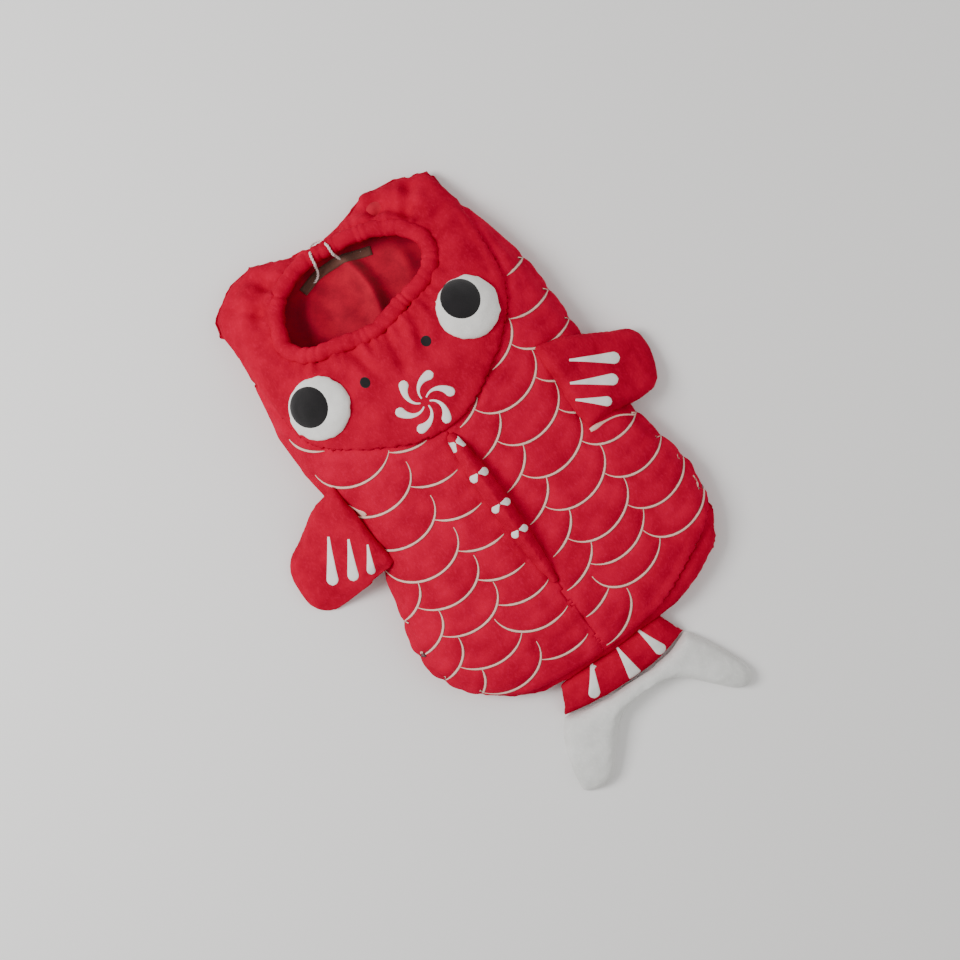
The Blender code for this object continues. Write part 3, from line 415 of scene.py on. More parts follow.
def relaxed(mesh, rounds, share=0.5):
    """Evens out the steps that the voxels leave."""
    bm = bmesh.new()
    bm.from_mesh(mesh)
    for _ in range(rounds):
        bmesh.ops.smooth_vert(bm, verts=bm.verts[:], factor=share, use_axis_x=True, use_axis_y=True,
                              use_axis_z=True)
    bm.to_mesh(mesh)
    bm.free()


def inflated(piece, cap):
    """Blows the piece up as cloth; cap is the most that it may swell in plan and in height."""
    cloth = piece.modifiers.new("pressure", "CLOTH")
    cloth.settings.use_pressure = True
    cloth.settings.uniform_pressure_force = PRESSURE
    cloth.settings.effector_weights.gravity = 0
    cloth.settings.quality = 4
    cloth.point_cache.frame_start = 1
    cloth.point_cache.frame_end = FRAMES
    for number in range(1, FRAMES + 1):
        bpy.context.scene.frame_set(number)
    rest = coordinates(piece.data)
    moved = coordinates(evaluated(piece)) - rest
    piece.modifiers.remove(cloth)
    bpy.context.scene.frame_set(1)
    limit = np.array([cap[0], cap[0], cap[1]])
    set_coordinates(piece.data, rest + limit * np.tanh(moved / limit))


def subdivided(piece):
    """The piece with one subdivision applied."""
    finer = piece.modifiers.new("finer", "SUBSURF")
    finer.levels = finer.render_levels = 1
    mesh = evaluated(piece)
    piece.modifiers.clear()
    piece.data = mesh
    return piece


def normals_of(mesh):
    """The vertex normals as an array."""
    found = np.empty(len(mesh.vertices) * 3, dtype=np.float32)
    mesh.vertices.foreach_get("normal", found)
    return found.reshape(-1, 3).astype(np.float64)


def follow(piece, body, bends=None):
    """Rides a piece on its body; given bends, it only bakes the piece's place into its mesh."""
    if bends:
        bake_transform(piece)
    else:
        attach(piece, body)


def stuffed(name, nodes, body, material, voxel, rounds, cap, shaped, bends=None):
    """Makes a piece of the nodes joined, blown up and shaped; returns a search tree of its surface."""
    piece = joined(name, nodes, voxel)
    relaxed(piece.data, rounds)
    inflated(piece, cap)
    subdivided(piece)
    set_coordinates(piece.data, shaped(coordinates(piece.data), normals_of(piece.data)))
    covered_in(piece, material)
    follow(piece, body, bends)
    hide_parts(*nodes)
    print(name, len(piece.data.polygons), "faces")
    return BVHTree.FromObject(piece, bpy.context.evaluated_depsgraph_get())


def dents(spots, *waves):
    """Soft dents for every vertex in metres: each wave is (width in mm, height in mm, shift)."""
    return np.array([
        sum(noise.noise(Vector(s) / (width * MM) + Vector(shift)) * height for width, height, shift in waves)
        for s in spots
    ]) * MM


# %% [markdown]
# ## The bag
# The bag is one shell: plain fleece behind, two scaled panels, a plain gusset at the tail, a puffed
# head panel and a lining inside. It is simulated whole, so that the panels stay joined at their
# seams, and is cut into its panels afterwards. Each face is given to the panel whose solid is
# nearest, and the vertices between two panels are drawn onto the seam.

# %% Bag: remesh, panels and pressure
BAG_SOLIDS = ["back_panel", "back_wadding", "back_lining", "left_front_panel", "right_front_panel",
              "lower_gusset", "front_wadding", "front_lining", "head_panel", "head_wadding"]
PANELS = ["back_panel", "left_front_panel", "right_front_panel", "lower_gusset", "head_panel",
          "front_lining", "back_lining"]
BAG_VOXEL = 5.2 * MM

bag = joined("bag", BAG_SOLIDS, BAG_VOXEL)
relaxed(bag.data, 2)
panel_trees = [node_tree_of([name]) for name in PANELS]
for name in PANELS:
    bag.data.materials.append(None)
labels = np.empty(len(bag.data.polygons), dtype=np.int32)
for face in bag.data.polygons:
    gaps = [tree.find_nearest(face.center, 0.05)[3] or 9 for tree in panel_trees]
    labels[face.index] = int(np.argmin(gaps))
bag.data.polygons.foreach_set("material_index", labels)


def largest_patch(mesh, wanted):
    """The faces with those labels that hang together in the largest patch."""
    bm = bmesh.new()
    bm.from_mesh(mesh)
    bm.faces.ensure_lookup_table()
    left = {face.index for face in bm.faces if face.material_index in wanted}
    best = set()
    while left:
        stack = [left.pop()]
        patch = set(stack)
        while stack:
            for edge in bm.faces[stack.pop()].edges:
                for face in edge.link_faces:
                    if face.index in left:
                        left.remove(face.index)
                        patch.add(face.index)
                        stack.append(face.index)
        best = max(best, patch, key=len)
    bm.free()
    return best


outer, inner = range(5), range(5, 7)
strays = 0
for wanted, others in ((inner, outer), (outer, inner)):
    keep = largest_patch(bag.data, wanted)
    for face in bag.data.polygons:
        if labels[face.index] in wanted and face.index not in keep:
            gaps = {k: panel_trees[k].find_nearest(face.center, 0.05)[3] or 9 for k in others}
            labels[face.index] = min(gaps, key=gaps.get)
            strays += 1
    bag.data.polygons.foreach_set("material_index", labels)

touching = [set() for _ in bag.data.vertices]
for face in bag.data.polygons:
    for index in face.vertices:
        touching[index].add(int(labels[face.index]))
drawn = 0
spots = coordinates(bag.data)
for index, found in enumerate(touching):
    if len(found) == 2:
        near = [panel_trees[k].find_nearest(Vector(spots[index]), 0.02)[0] for k in found]
        if all(point is not None for point in near):
            middle = (near[0] + near[1]) / 2 - Vector(spots[index])
            spots[index] += np.array(middle) * np.array((1, 1, 0.3))
            drawn += 1
set_coordinates(bag.data, spots)
inflated(bag, (1.5 * MM, 4.5 * MM))
subdivided(bag)
print("bag", len(bag.data.vertices), "vertices,", drawn, "drawn onto seams,", strays, "faces relabelled")

# %% [markdown]
# ## Where the scales are stitched
# Rows of U-shaped scales are quilted through the two front panels. Each is half an ellipse. They
# stand in columns, and the next column lies half a scale lower, so a scale is drawn only where no
# scale nearer the head covers it. The places are lists of the scales' lowest points, in millimetres.

# %% Scale lines
SCALE_HALF = 48.0
SCALE_DEPTH = 38.0
SCALE_LEAN_DEG = 5.0
MIDDLE_GAP = 4  # between a line's end and the seam along the middle
RIDGE_GAP = 13.5  # the back fin's foot, which covers the lines between these two places
RIDGE_LOW, RIDGE_HIGH = -112, 76
ARC_STEPS = 48
SHORTEST_ARC = 8  # points; a shorter stretch of line is left out
EDGE_MARGIN = 2.5  # millimetres between a line's end and the panel's edge
LEFT_COLUMNS = {
    -176: [-73, -118, -157, -201],
    -106: [241, 187, 134, 83, 41, -6, -51, -90, -128, -175, -213],
    -34: [80.5, 32, -14.6, -58, -99, -134, -172, -213],
}
RIGHT_COLUMNS = {
    14: [70, 26, -21, -66, -111, -152, -190, -233],
    85: [102, 55, 10.5, -35, -80, -125, -157, -189.5],
    163: [237, 181, 132, 90, 45, 0.6, -44, -90, -134, -175],
}
front_trees = {"left": node_tree_of(["left_front_panel"]), "right": node_tree_of(["right_front_panel"])}


def on_panel(side, x, y):
    """Whether that place, in millimetres, is on the front panel of that side."""
    rays = [front_trees[side].ray_cast(Vector(((x + shift) * MM, y * MM, 0.3)), Vector((0, 0, -1)))
            for shift in (-EDGE_MARGIN, EDGE_MARGIN)]
    return all(hit[0] is not None for hit in rays)


def scale_arcs(columns, side):
    """The visible stretches of the scales of one panel, as lines in plan."""
    lean = math.radians(SCALE_LEAN_DEG) * (1 if side == "right" else -1)
    places = [(x, y) for x, feet in columns.items() for y in feet]

    def spot(x, foot, share):
        angle = math.pi * share
        across, down = -SCALE_HALF * math.cos(angle), SCALE_DEPTH * (1 - math.sin(angle))
        return (x + across * math.cos(lean), foot + down + across * math.sin(lean))

    def covered(x, y, own):
        for other_x, foot in places:
            if (foot, -other_x) <= (own[1], -own[0]):
                continue
            across = (x - other_x) / SCALE_HALF
            if abs(across) < 1:
                lowest = foot + SCALE_DEPTH * (1 - math.sqrt(1 - across * across))
                if y > lowest + across * SCALE_HALF * math.sin(lean) + 1.5:
                    return True
        return False

    arcs = []
    for own in places:
        line = []
        for k in range(ARC_STEPS + 1):
            x, y = spot(own[0], own[1], k / ARC_STEPS)
            middle_gap = RIDGE_GAP if RIDGE_LOW < y < RIDGE_HIGH else MIDDLE_GAP
            if on_panel(side, x, y) and abs(x) > middle_gap and not covered(x, y, own):
                line.append(Vector((x * MM, y * MM, 0)))
            else:
                if len(line) > SHORTEST_ARC:
                    arcs.append(line)
                line = []
        if len(line) > SHORTEST_ARC:
            arcs.append(line)
    return arcs


SCALES = {"left": scale_arcs(LEFT_COLUMNS, "left"), "right": scale_arcs(RIGHT_COLUMNS, "right")}
print("scale arcs", {side: len(arcs) for side, arcs in SCALES.items()})

# %% [markdown]
# ## Pressing in the seams, quilting, gathers and creases
# Stitching pulls the cloth down and the wadding swells beside it. Each seam and scale line is a
# soft groove, deepest at the line. The mouth's elastic gathers the head panel into many small
# ripples that fade away from the rim, and a few long creases run from it to the two ears. The
# shapes are sums of smooth bumps, worked out for every vertex from its distance to the lines.

# %% Distance helpers


def line_tree(lines, spacing=1.5 * MM):
    """A search tree in plan of points along the lines, each with its share of the way along."""
    points = []
    for line in lines:
        dense = smooth_line(line, spacing)
        points += [(p, k / max(len(dense) - 1, 1)) for k, p in enumerate(dense)]
    tree = KDTree(len(points))
    for k, (point, _) in enumerate(points):
        tree.insert((point.x, point.y, 0), k)
    tree.balance()
    return tree, [share for _, share in points]


def plan_distance(tree, spots, chosen, reach):
    """For the chosen vertices: the distance in plan to the lines, and the share along them."""
    found = np.full(len(spots), 9.0)
    shares = np.zeros(len(spots))
    for index in chosen:
        _, where, gap = tree[0].find((spots[index][0], spots[index][1], 0))
        if gap < reach:
            found[index] = gap
            shares[index] = tree[1][where]
    return found, shares


MOUTH_RIM = [(-93, 262), (-84, 292), (-60, 318), (-22, 331), (20, 327), (62, 316), (95, 294), (105, 262),
             (84, 236), (42, 227), (0, 218), (-44, 229), (-78, 240)]
MOUTH_MIDDLE = Vector((5 * MM, 275 * MM, 0))
EAR_CREASES = [
    ([(-80, 300), (-104, 322), (-126, 342)], 5.0, 7), ([(-58, 322), (-74, 342), (-88, 362)], 4.5, 7),
    ([(-96, 275), (-120, 284), (-146, 300)], 3.0, 8), ([(-20, 334), (-26, 344), (-30, 354)], 2.4, 6),
    ([(58, 352), (84, 338), (106, 318), (124, 290)], 8.5, 9),
    ([(-62, 348), (-90, 326), (-112, 296)], 6.5, 9),
    ([(96, 300), (118, 320), (138, 344)], 5.0, 7), ([(66, 320), (82, 338), (98, 358)], 5.0, 7),
    ([(108, 272), (132, 282), (158, 296)], 3.0, 8), ([(26, 332), (32, 342), (36, 352)], 2.4, 6),
    ([(-40, 224), (-30, 196), (-24, 160)], 5.0, 7), ([(6, 214), (6, 188), (2, 150)], 4.5, 6),
    ([(46, 222), (44, 196), (34, 160)], 5.0, 7), ([(24, 218), (22, 196), (14, 168)], 2.6, 6),
    ([(-16, 218), (-14, 196), (-10, 168)], 2.6, 6), ([(-72, 236), (-66, 214), (-56, 196)], 2.0, 8),
    ([(80, 230), (70, 210), (62, 194)], 2.0, 8),
]
BODY_CREASES = [
    ([(-40, 60), (-70, 20), (-90, -40)], 2.2, 16), ([(40, 66), (80, 10), (110, -60)], 2.2, 16),
    ([(-120, 100), (-140, 40), (-146, -20)], 2.0, 12), ([(-60, -60), (-100, -120), (-120, -180)], 2.4, 15),
    ([(60, -80), (110, -130), (150, -170)], 2.4, 15), ([(160, 120), (176, 50), (178, -20)], 2.0, 12),
    ([(-20, -150), (-24, -190), (-40, -226)], 2.0, 12), ([(30, -160), (40, -200), (60, -232)], 2.0, 12),
]
INSIDE_FOLDS = [
    ([(14, 322), (22, 296), (24, 262), (14, 220)], 19.0, 10),
    ([(-46, 306), (-52, 268), (-44, 236)], 5.0, 12),
    ([(72, 300), (78, 268), (66, 240)], 5.0, 11),
]


def in_metres(points):
    """Plan points in millimetres as vectors in metres."""
    return [Vector((x * MM, y * MM, 0)) for x, y in points]


def bump(gap, width, centre=0.0):
    """A smooth swelling that is one at the centre and fades over the width."""
    return np.exp(-(((gap - centre) / width) ** 2))


def marked(chosen):
    """One for the chosen vertices and nothing for the others."""
    near = np.zeros(count)
    near[chosen] = 1
    return near


# %% Bag: seams, quilting, gathers and creases
spots = coordinates(bag.data)
normals = normals_of(bag.data)
count = len(spots)
face_labels = np.empty(len(bag.data.polygons), dtype=np.int32)
bag.data.polygons.foreach_get("material_index", face_labels)
vertex_labels = [set() for _ in range(count)]
for face in bag.data.polygons:
    for index in face.vertices:
        vertex_labels[index].add(int(face_labels[face.index]))
BACK, LEFT, RIGHT, GUSSET, HEAD, FRONT_LINING, BACK_LINING = range(len(PANELS))


def among(*wanted):
    """The vertices that belong to any of those panels."""
    return [k for k in range(count) if vertex_labels[k] & set(wanted)]


lift = np.zeros(count)
SEAM_DEPTH = 2.4 * MM
SEAM_WIDTH = 4.5 * MM
SEAM_SWELL = 0.9 * MM  # how far the wadding rises beside a seam
for index in among(LEFT, RIGHT, GUSSET, HEAD, BACK):
    own = vertex_labels[index]
    rivals = [k for k in (BACK, LEFT, RIGHT, GUSSET, HEAD) if k not in own or len(own) > 1]
    gap = min((panel_trees[k].find_nearest(Vector(spots[index]), 4 * SEAM_WIDTH)[3] or 9) for k in rivals)
    gap = 0 if len(own) > 1 else max(gap - 0.3 * MM, 0)
    lift[index] -= SEAM_DEPTH * bump(gap, SEAM_WIDTH)
    lift[index] += SEAM_SWELL * bump(gap, 6 * MM, 12 * MM)

QUILT_DEPTH = 1.7 * MM
QUILT_WIDTH = 4.2 * MM
QUILT_SWELL = 1.1 * MM
for side, label in (("left", LEFT), ("right", RIGHT)):
    chosen = among(label)
    gap, _ = plan_distance(line_tree(SCALES[side]), spots, chosen, 30 * MM)
    near = marked(chosen)
    lift -= near * QUILT_DEPTH * bump(gap, QUILT_WIDTH)
    lift += near * QUILT_SWELL * bump(gap, 8 * MM, 13 * MM)

rim_tree = line_tree([in_metres(MOUTH_RIM + MOUTH_RIM[:1])])
gap, share = plan_distance(rim_tree, spots, among(HEAD, FRONT_LINING), 70 * MM)
GATHERS = 44
GATHER_HEIGHT = 2.1 * MM
ripple = np.array([
    math.sin(2 * math.pi * (GATHERS * s + 1.3 * noise.noise(Vector((s * 17, 3.1, 0)))))
    for s in share
])
strength = np.array([0.65 + 0.6 * noise.noise(Vector((s * 23, 9.7, 0))) for s in share])
reach = np.array([(26 + 18 * noise.noise(Vector((s * 29, 1.7, 0)))) * MM for s in share])
lift += GATHER_HEIGHT * strength * ripple * np.exp(-((gap / reach) ** 1.4))

CREASE_SWELL = 0.45  # the rise beside a crease, as a share of its depth
for creases, wanted in ((EAR_CREASES, (HEAD,)), (BODY_CREASES, (LEFT, RIGHT, GUSSET))):
    chosen = among(*wanted)
    near = marked(chosen)
    for points, depth, width in creases:
        gap, share = plan_distance(line_tree([in_metres(points)]), spots, chosen, 4 * width * MM)
        ends = np.sin(np.pi * np.clip(share, 0.02, 0.98)) ** 0.6
        lift -= near * depth * MM * ends * bump(gap / MM, width)
        lift += near * CREASE_SWELL * depth * MM * ends * bump(gap / MM, width, 1.9 * width)

for index in among(LEFT, RIGHT, GUSSET, HEAD):
    spot = Vector(spots[index])
    wave = noise.noise(spot / (58 * MM)) * 1.6 + noise.noise(spot / (21 * MM)) * 0.5
    lift[index] += wave * MM

raised = np.zeros(count)
chosen = [k for k in among(BACK_LINING) if normals[k][2] > 0.2]
for points, height, width in INSIDE_FOLDS:
    gap, share = plan_distance(line_tree([in_metres(points)]), spots, chosen, 4 * width * MM)
    ends = np.sin(np.pi * np.clip(share, 0.05, 0.95)) ** 0.5
    raised += height * MM * ends * bump(gap / MM, width)
for index in chosen:
    raised[index] += noise.noise(Vector(spots[index]) / (32 * MM)) * 2.4 * MM

spots += normals * lift[:, None]
spots[:, 2] += raised
LOWEST = 0.15 * MM  # clear of the floor
spots[:, 2] = np.maximum(spots[:, 2], LOWEST)
set_coordinates(bag.data, spots)
print("lift", round(lift.min() * 1000, 2), "to", round(lift.max() * 1000, 2), "mm")

# %% [markdown]
# ## Cutting the bag into its panels
# The simulated shell is now separated by panel, and each panel is given the thickness of its cloth
# inwards, which closes its edges. Cutting last keeps every seam shut.

# %% Bag: panels
PANEL_PIECES = {
    "back_panel": ("back_cover", RED_PLAIN, "plain_fleece", ["back_panel", "back_wadding"], 0.55),
    "left_front_panel": ("left_scaled_panel", RED_SCALED, "red_fleece", ["left_front_panel"], 0.6),
    "right_front_panel": ("right_scaled_panel", RED_SCALED, "red_fleece", ["right_front_panel"], 0.6),
    "lower_gusset": ("tail_gusset", RED_PLAIN, "plain_fleece", ["lower_gusset"], 0.5),
    "head_panel": ("head_cover", RED_PLAIN, "plain_fleece", ["head_panel", "head_wadding"], 0.6),
    "front_lining": ("front_inside", LINING, "lining", ["front_lining", "front_wadding"], 0.4),
    "back_lining": ("back_inside", LINING, "lining", ["back_lining"], 0.4),
}
CLOTH_WALL = 1.2 * MM


def taken_from(mesh, label):
    """A copy of the mesh with only the faces of that label."""
    bm = bmesh.new()
    bm.from_mesh(mesh)
    others = [face for face in bm.faces if face.material_index != label]
    bmesh.ops.delete(bm, geom=others, context="FACES")
    for face in bm.faces:
        face.material_index = 0
    return mesh_from(bm, PANELS[label])


panels = {}
for label, node in enumerate(PANELS):
    title, cloth, slot, replaced, fill = PANEL_PIECES[node]
    panel = thickened(new_object(title, taken_from(bag.data, label), cloth), CLOTH_WALL)
    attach(panel, "bag")
    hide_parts(*replaced)
    panels[node] = panel
    print(title, len(panel.data.polygons), "faces")
SKIN = BVHTree.FromPolygons([tuple(s) for s in spots], [tuple(f.vertices) for f in bag.data.polygons])
bpy.data.objects.remove(bag)

# %% [markdown]
# ## Strips and patches laid on cloth
# Everything sewn onto the fleece is a strip along a line: a line of satin stitches, a felt drop, a
# petal, even a round pupil, whose width swells from nothing and back. The strip is a grid laid down
# on the finished cloth under it. It is crowned in its middle and its edges sink into the pile, as
# a stitched edge does.

# %% Strips


def strip(name, runs, tree, material, crown, thickness, across=4, down=(0, 0, -1), sink=0.35 * MM):
    """Strips laid on the cloth. Each run is (line, half-widths along it); the UV map is in metres."""
    whole = bmesh.new()
    whole.loops.layers.uv.new("strip")
    down = Vector(down)
    for line, halves in runs:
        bm = bmesh.new()
        steps = len(line) - 1
        bmesh.ops.create_grid(bm, x_segments=steps, y_segments=across, size=0.5)
        flat = {}
        travelled = [0.0]
        for before, after in zip(line, line[1:]):
            travelled.append(travelled[-1] + (after - before).length)
        for vertex in bm.verts:
            place = round((vertex.co.x + 0.5) * steps)
            offset = vertex.co.y * 2
            run = (line[min(place + 1, steps)] - line[max(place - 1, 0)]).normalized()
            side = run.cross(down).normalized() * -1
            point = line[place] + side * offset * halves[place]
            hit = tree.ray_cast(point - down * 0.3, down)
            if hit[0] is None:
                under = tree.ray_cast(line[place] - down * 0.3, down)[0]
                hit = tree.find_nearest(Vector((point.x, point.y, under.z if under else 0.04)))
            spot, normal = hit[0], hit[1]
            full = min(halves[place] / max(halves), 1)
            rise = crown * full * (1 - offset**4) - sink * abs(offset) ** 12
            vertex.co = spot + normal * rise
            flat[vertex.index] = (travelled[place], offset * halves[place])
        layer = bm.loops.layers.uv.new("strip")
        for face in bm.faces:
            for loop in face.loops:
                loop[layer].uv = flat[loop.vert.index]
        bmesh.ops.recalc_face_normals(bm, faces=bm.faces[:])
        if sum(face.normal.dot(-down) for face in bm.faces) < 0:
            bmesh.ops.reverse_faces(bm, faces=bm.faces[:])
        whole.from_mesh(mesh_from(bm, "strip"))
    return thickened(new_object(name, mesh_from(whole, name), material), thickness)


def sewn(piece, body, slot, *replaced, bends=None):
    """A sewn-on piece follows the cloth under it, and the solids it stands for are hidden; slot is not used.
    """
    follow(piece, body, bends)
    if replaced:
        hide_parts(*replaced)
    return piece


# %% [markdown]
# ## Scale stitching
# A pale line of satin stitches, 3.5 mm wide, lies in each quilting groove on a slightly wider dark red
# strip, which is painted shadow: the shade that falls along the stitching's edges in its groove.

# %% Scale stitching
LINE_HALF = 1.75 * MM
for side, arcs in SCALES.items():
    lines = [smooth_line(arc, 2.2 * MM) for arc in arcs]
    runs = []
    for line in lines:
        ends = len(line) - 1
        halves = [LINE_HALF * min(1, 0.35 + 2.6 * min(k, ends - k) / ends) for k in range(ends + 1)]
        runs.append((line, halves))
    pale = strip(f"{side}_scale_stitching", runs, SKIN, STITCHING, 0.7 * MM, 0.8 * MM)
    sewn(pale, "bag", "red_fleece")
    # A wider dark red strip under each pale line paints the shadow along its edges.
    wider = [(line, [half * 1.5 for half in halves]) for line, halves in runs]
    dark = strip(f"{side}_scale_outline", wider, SKIN, PAINTED_STITCH_SHADOW, 0.25 * MM, 0.8 * MM)
    sewn(dark, "bag", "red_fleece")
ROOT_STITCHES = [[(133, -19), (150, -20), (170, -24), (189, -35)], [(-133, 52), (-141, 70), (-150, 84)]]
for number, stops in enumerate(ROOT_STITCHES, 1):
    line = smooth_line(in_metres(stops), 2 * MM)
    halves = [(1.4 + 2.2 * math.exp(-((k / (len(line) - 1) - 0.12) / 0.16) ** 2)) * MM
              for k in range(len(line))]
    mark = strip(f"root_stitching_{number}", [(line, halves)], SKIN, STITCHING, 0.7 * MM, 0.8 * MM)
    sewn(mark, "bag", "red_fleece")
total = sum(length_of(arc) for arcs in SCALES.values() for arc in arcs)
print("stitched", round(total, 2), "m of scale line")

# %% [markdown]
# ## The mouth's gathered casing
# A strip of fleece is folded round an elastic and sewn to the edge of the mouth. The elastic is
# shorter than the mouth, so the casing puckers into uneven pleats about 15 mm apart. It is a grid wrapped
# into a ring: round the mouth one way and round the elastic the other, with the pleats as swellings
# of its radius.

# %% Mouth casing
CASING_RADIUS = 7.8 * MM
CASING_OUT = 2.0 * MM
CASING_AROUND = 420
CASING_SECTION = 22
PLEATS = 38


def elastic_line():
    """The middle of the elastic, found from its solid: mean points in turn round the mouth."""
    ring = coordinates(NODES["mouth_elastic"].data)
    ring = np.unique(np.round(ring, 5), axis=0)
    angles = np.arctan2(ring[:, 1] - MOUTH_MIDDLE.y, ring[:, 0] - MOUTH_MIDDLE.x)
    bins = 34
    means = []
    for k in range(bins):
        low = -math.pi + 2 * math.pi * k / bins
        inside = (angles >= low) & (angles < low + 2 * math.pi / bins)
        if inside.any():
            means.append(Vector(ring[inside].mean(axis=0)))
    return means


rim = smooth_line(elastic_line(), 1.6 * MM, closed=True)
rim = smooth_line(rim[::12], length_of(rim + rim[:1]) / CASING_AROUND, closed=True)
bm = bmesh.new()
bmesh.ops.create_grid(bm, x_segments=len(rim), y_segments=CASING_SECTION, size=0.5)
for vertex in bm.verts:
    place = round((vertex.co.x + 0.5) * len(rim)) % len(rim)
    turn = round((vertex.co.y + 0.5) * CASING_SECTION) % CASING_SECTION
    share = place / len(rim)
    run = (rim[(place + 2) % len(rim)] - rim[place - 2]).normalized()
    out = Vector((run.x, run.y, 0)).normalized().cross(Vector((0, 0, 1)))
    if out.dot(rim[place] - MOUTH_MIDDLE) < 0:
        out = -out
    up = run.cross(out)
    up = up if up.z > 0 else -up
    angle = 2 * math.pi * turn / CASING_SECTION
    loop = 2 * math.pi * share
    drift = noise.noise(Vector((3 * math.cos(loop), 3 * math.sin(loop), 0.7)))
    phase = PLEATS * loop + 9.0 * drift + 0.9 * math.sin(angle + 3 * loop)
    depth = 0.6 + 0.8 * noise.noise(Vector((5 * math.cos(loop), 5 * math.sin(loop), 4)))
    fold = (1 - abs(math.sin(phase / 2)) ** 0.8) * depth
    soft = noise.noise(Vector((7 * math.cos(loop), 7 * math.sin(loop), angle * 0.8)))
    radius = CASING_RADIUS * (1.05 - 0.24 * fold + 0.10 * soft)
    centre = rim[place] + out * CASING_OUT
    vertex.co = centre + out * radius * 1.25 * math.cos(angle) + up * radius * math.sin(angle)
bmesh.ops.remove_doubles(bm, verts=bm.verts[:], dist=1e-6)
bmesh.ops.recalc_face_normals(bm, faces=bm.faces[:])
ring = mesh_from(bm, "mouth_casing")
casing = new_object("mouth_casing", ring, RED_PLAIN)
soften = casing.modifiers.new("soften", "SUBSURF")
soften.levels = soften.render_levels = 1
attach(casing, "bag")
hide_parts("mouth_band", "mouth_elastic")
print("casing", len(ring.polygons), "faces round", len(rim), "stations")

# %% [markdown]
# ## Neck tape
# A brown cotton tape is sewn across the back of the mouth on the lining, and holds the cord's two
# ends. It is a woven strip laid on the lining.

# %% Neck tape
TAPE_STOPS = [(-42, 309), (-14, 316), (18, 313), (52, 303)]
TAPE_WIDTH = 11 * MM
TAPE_WALL = 1.0 * MM
TAPE_STEP = 3 * MM
TAPE_LOWEST = 9.5 * MM
tape_line = smooth_line(in_metres(TAPE_STOPS), TAPE_STEP)
inside_skin = BVHTree.FromObject(panels["back_lining"], bpy.context.evaluated_depsgraph_get())


def lining_height(point):
    """The top of the back lining at a plan point."""
    hit = inside_skin.ray_cast(Vector((point.x, point.y, 0.03)), Vector((0, 0, -1)))
    return hit[0].z if hit[0] else 0.011


tape_bm = bmesh.new()
bmesh.ops.create_grid(tape_bm, x_segments=len(tape_line) - 1, y_segments=4, size=0.5)
tape_uv = tape_bm.loops.layers.uv.new("strip")
for vertex in tape_bm.verts:
    place = round((vertex.co.x + 0.5) * (len(tape_line) - 1))
    offset = vertex.co.y * TAPE_WIDTH
    run = (tape_line[min(place + 1, len(tape_line) - 1)] - tape_line[max(place - 1, 0)]).normalized()
    point = tape_line[place] + Vector((-run.y, run.x, 0)) * offset
    for face in vertex.link_faces:
        for loop in face.loops:
            if loop.vert == vertex:
                loop[tape_uv].uv = (place * TAPE_STEP, offset)
    vertex.co = Vector((point.x, point.y, max(lining_height(point), TAPE_LOWEST) + 1.1 * MM))
tape = new_object("neck_tape_woven", mesh_from(tape_bm, "neck_tape_woven"), TAPE_TWILL)
thickened(tape, TAPE_WALL)
sewn(tape, "bag", "brown_tape", "neck_tape")
print("tape", round(length_of(tape_line) * 1000), "mm long")

# %% [markdown]
# ## Eyes
# Each eye is a white felt cap over a ball of stuffing, with a flat black felt pupil sewn on off
# centre. The cap is swollen from its solid like the other padded pieces. The pupil is a strip whose
# width is a circle's chord, laid on the cap.

# %% Eyes and nostrils


def disc_run(x, y, radius, steps=22):
    """A round patch as a strip: a straight line across it, with a circle's chords as widths."""
    shares = [0.5 - 0.5 * math.cos(math.pi * k / steps) for k in range(steps + 1)]
    line = [Vector((x * MM, (y + radius * (2 * s - 1)) * MM, 0)) for s in shares]
    halves = [max(radius * MM * 2 * math.sqrt(max(s * (1 - s), 0)), 0.02 * MM) for s in shares]
    return line, halves


def eye_shape(spots, normals):
    """Dents the eye a little and draws its rim down into the head."""
    spots += normals * dents(spots, (17, 0.7, (0, 0, 0)), (7, 0.25, (0, 0, 0)))[:, None]
    spots[:, 2] -= RIM_DROP * np.clip((0.35 - normals[:, 2]) / 0.5, 0, 1)
    return spots


RIM_DROP = 5 * MM
EYES = {"left": (-111, 188), "right": (99, 187)}
PUPIL_RADIUS = 24.0
for side, (x, y) in EYES.items():
    parts = [f"{side}_eye_cap", f"{side}_eye_stuffing"]
    ball = stuffed(f"{side}_eye_cover", parts, "bag", WHITE_FELT, 2.6 * MM, 12,
                   (0.8 * MM, 1.6 * MM), eye_shape)
    pupil = strip(f"{side}_pupil_felt", [disc_run(x, y, PUPIL_RADIUS)], ball, BLACK_FELT, 0.9 * MM,
                  1.2 * MM, across=22)
    sewn(pupil, "bag", "black_felt", f"{side}_pupil")
for side, (x, y) in {"left": (-43, 173), "right": (40, 171)}.items():
    nostril = strip(f"{side}_nostril_felt", [disc_run(x, y, 6.4, 12)], SKIN, BLACK_FELT, 1.0 * MM,
                    1.0 * MM, across=12)
    sewn(nostril, "bag", "black_felt", f"{side}_nostril")
print("eyes and nostrils done")

# %% [markdown]
# ## The whorl on the snout
# Six white commas curl out from a point, each a fine tail that ends in a round head. Each is a strip
# whose line turns as it goes outwards and whose half-width grows, then closes in a half circle.

# %% Whorl
THINNEST = 0.05 * MM  # a strip's half-width never falls to nothing


def rounded(left, radius):
    """How a round end closes: a half circle over the last stretch of its own radius."""
    return math.sqrt(max(1 - (1 - left / radius) ** 2, 0)) if left < radius else 1


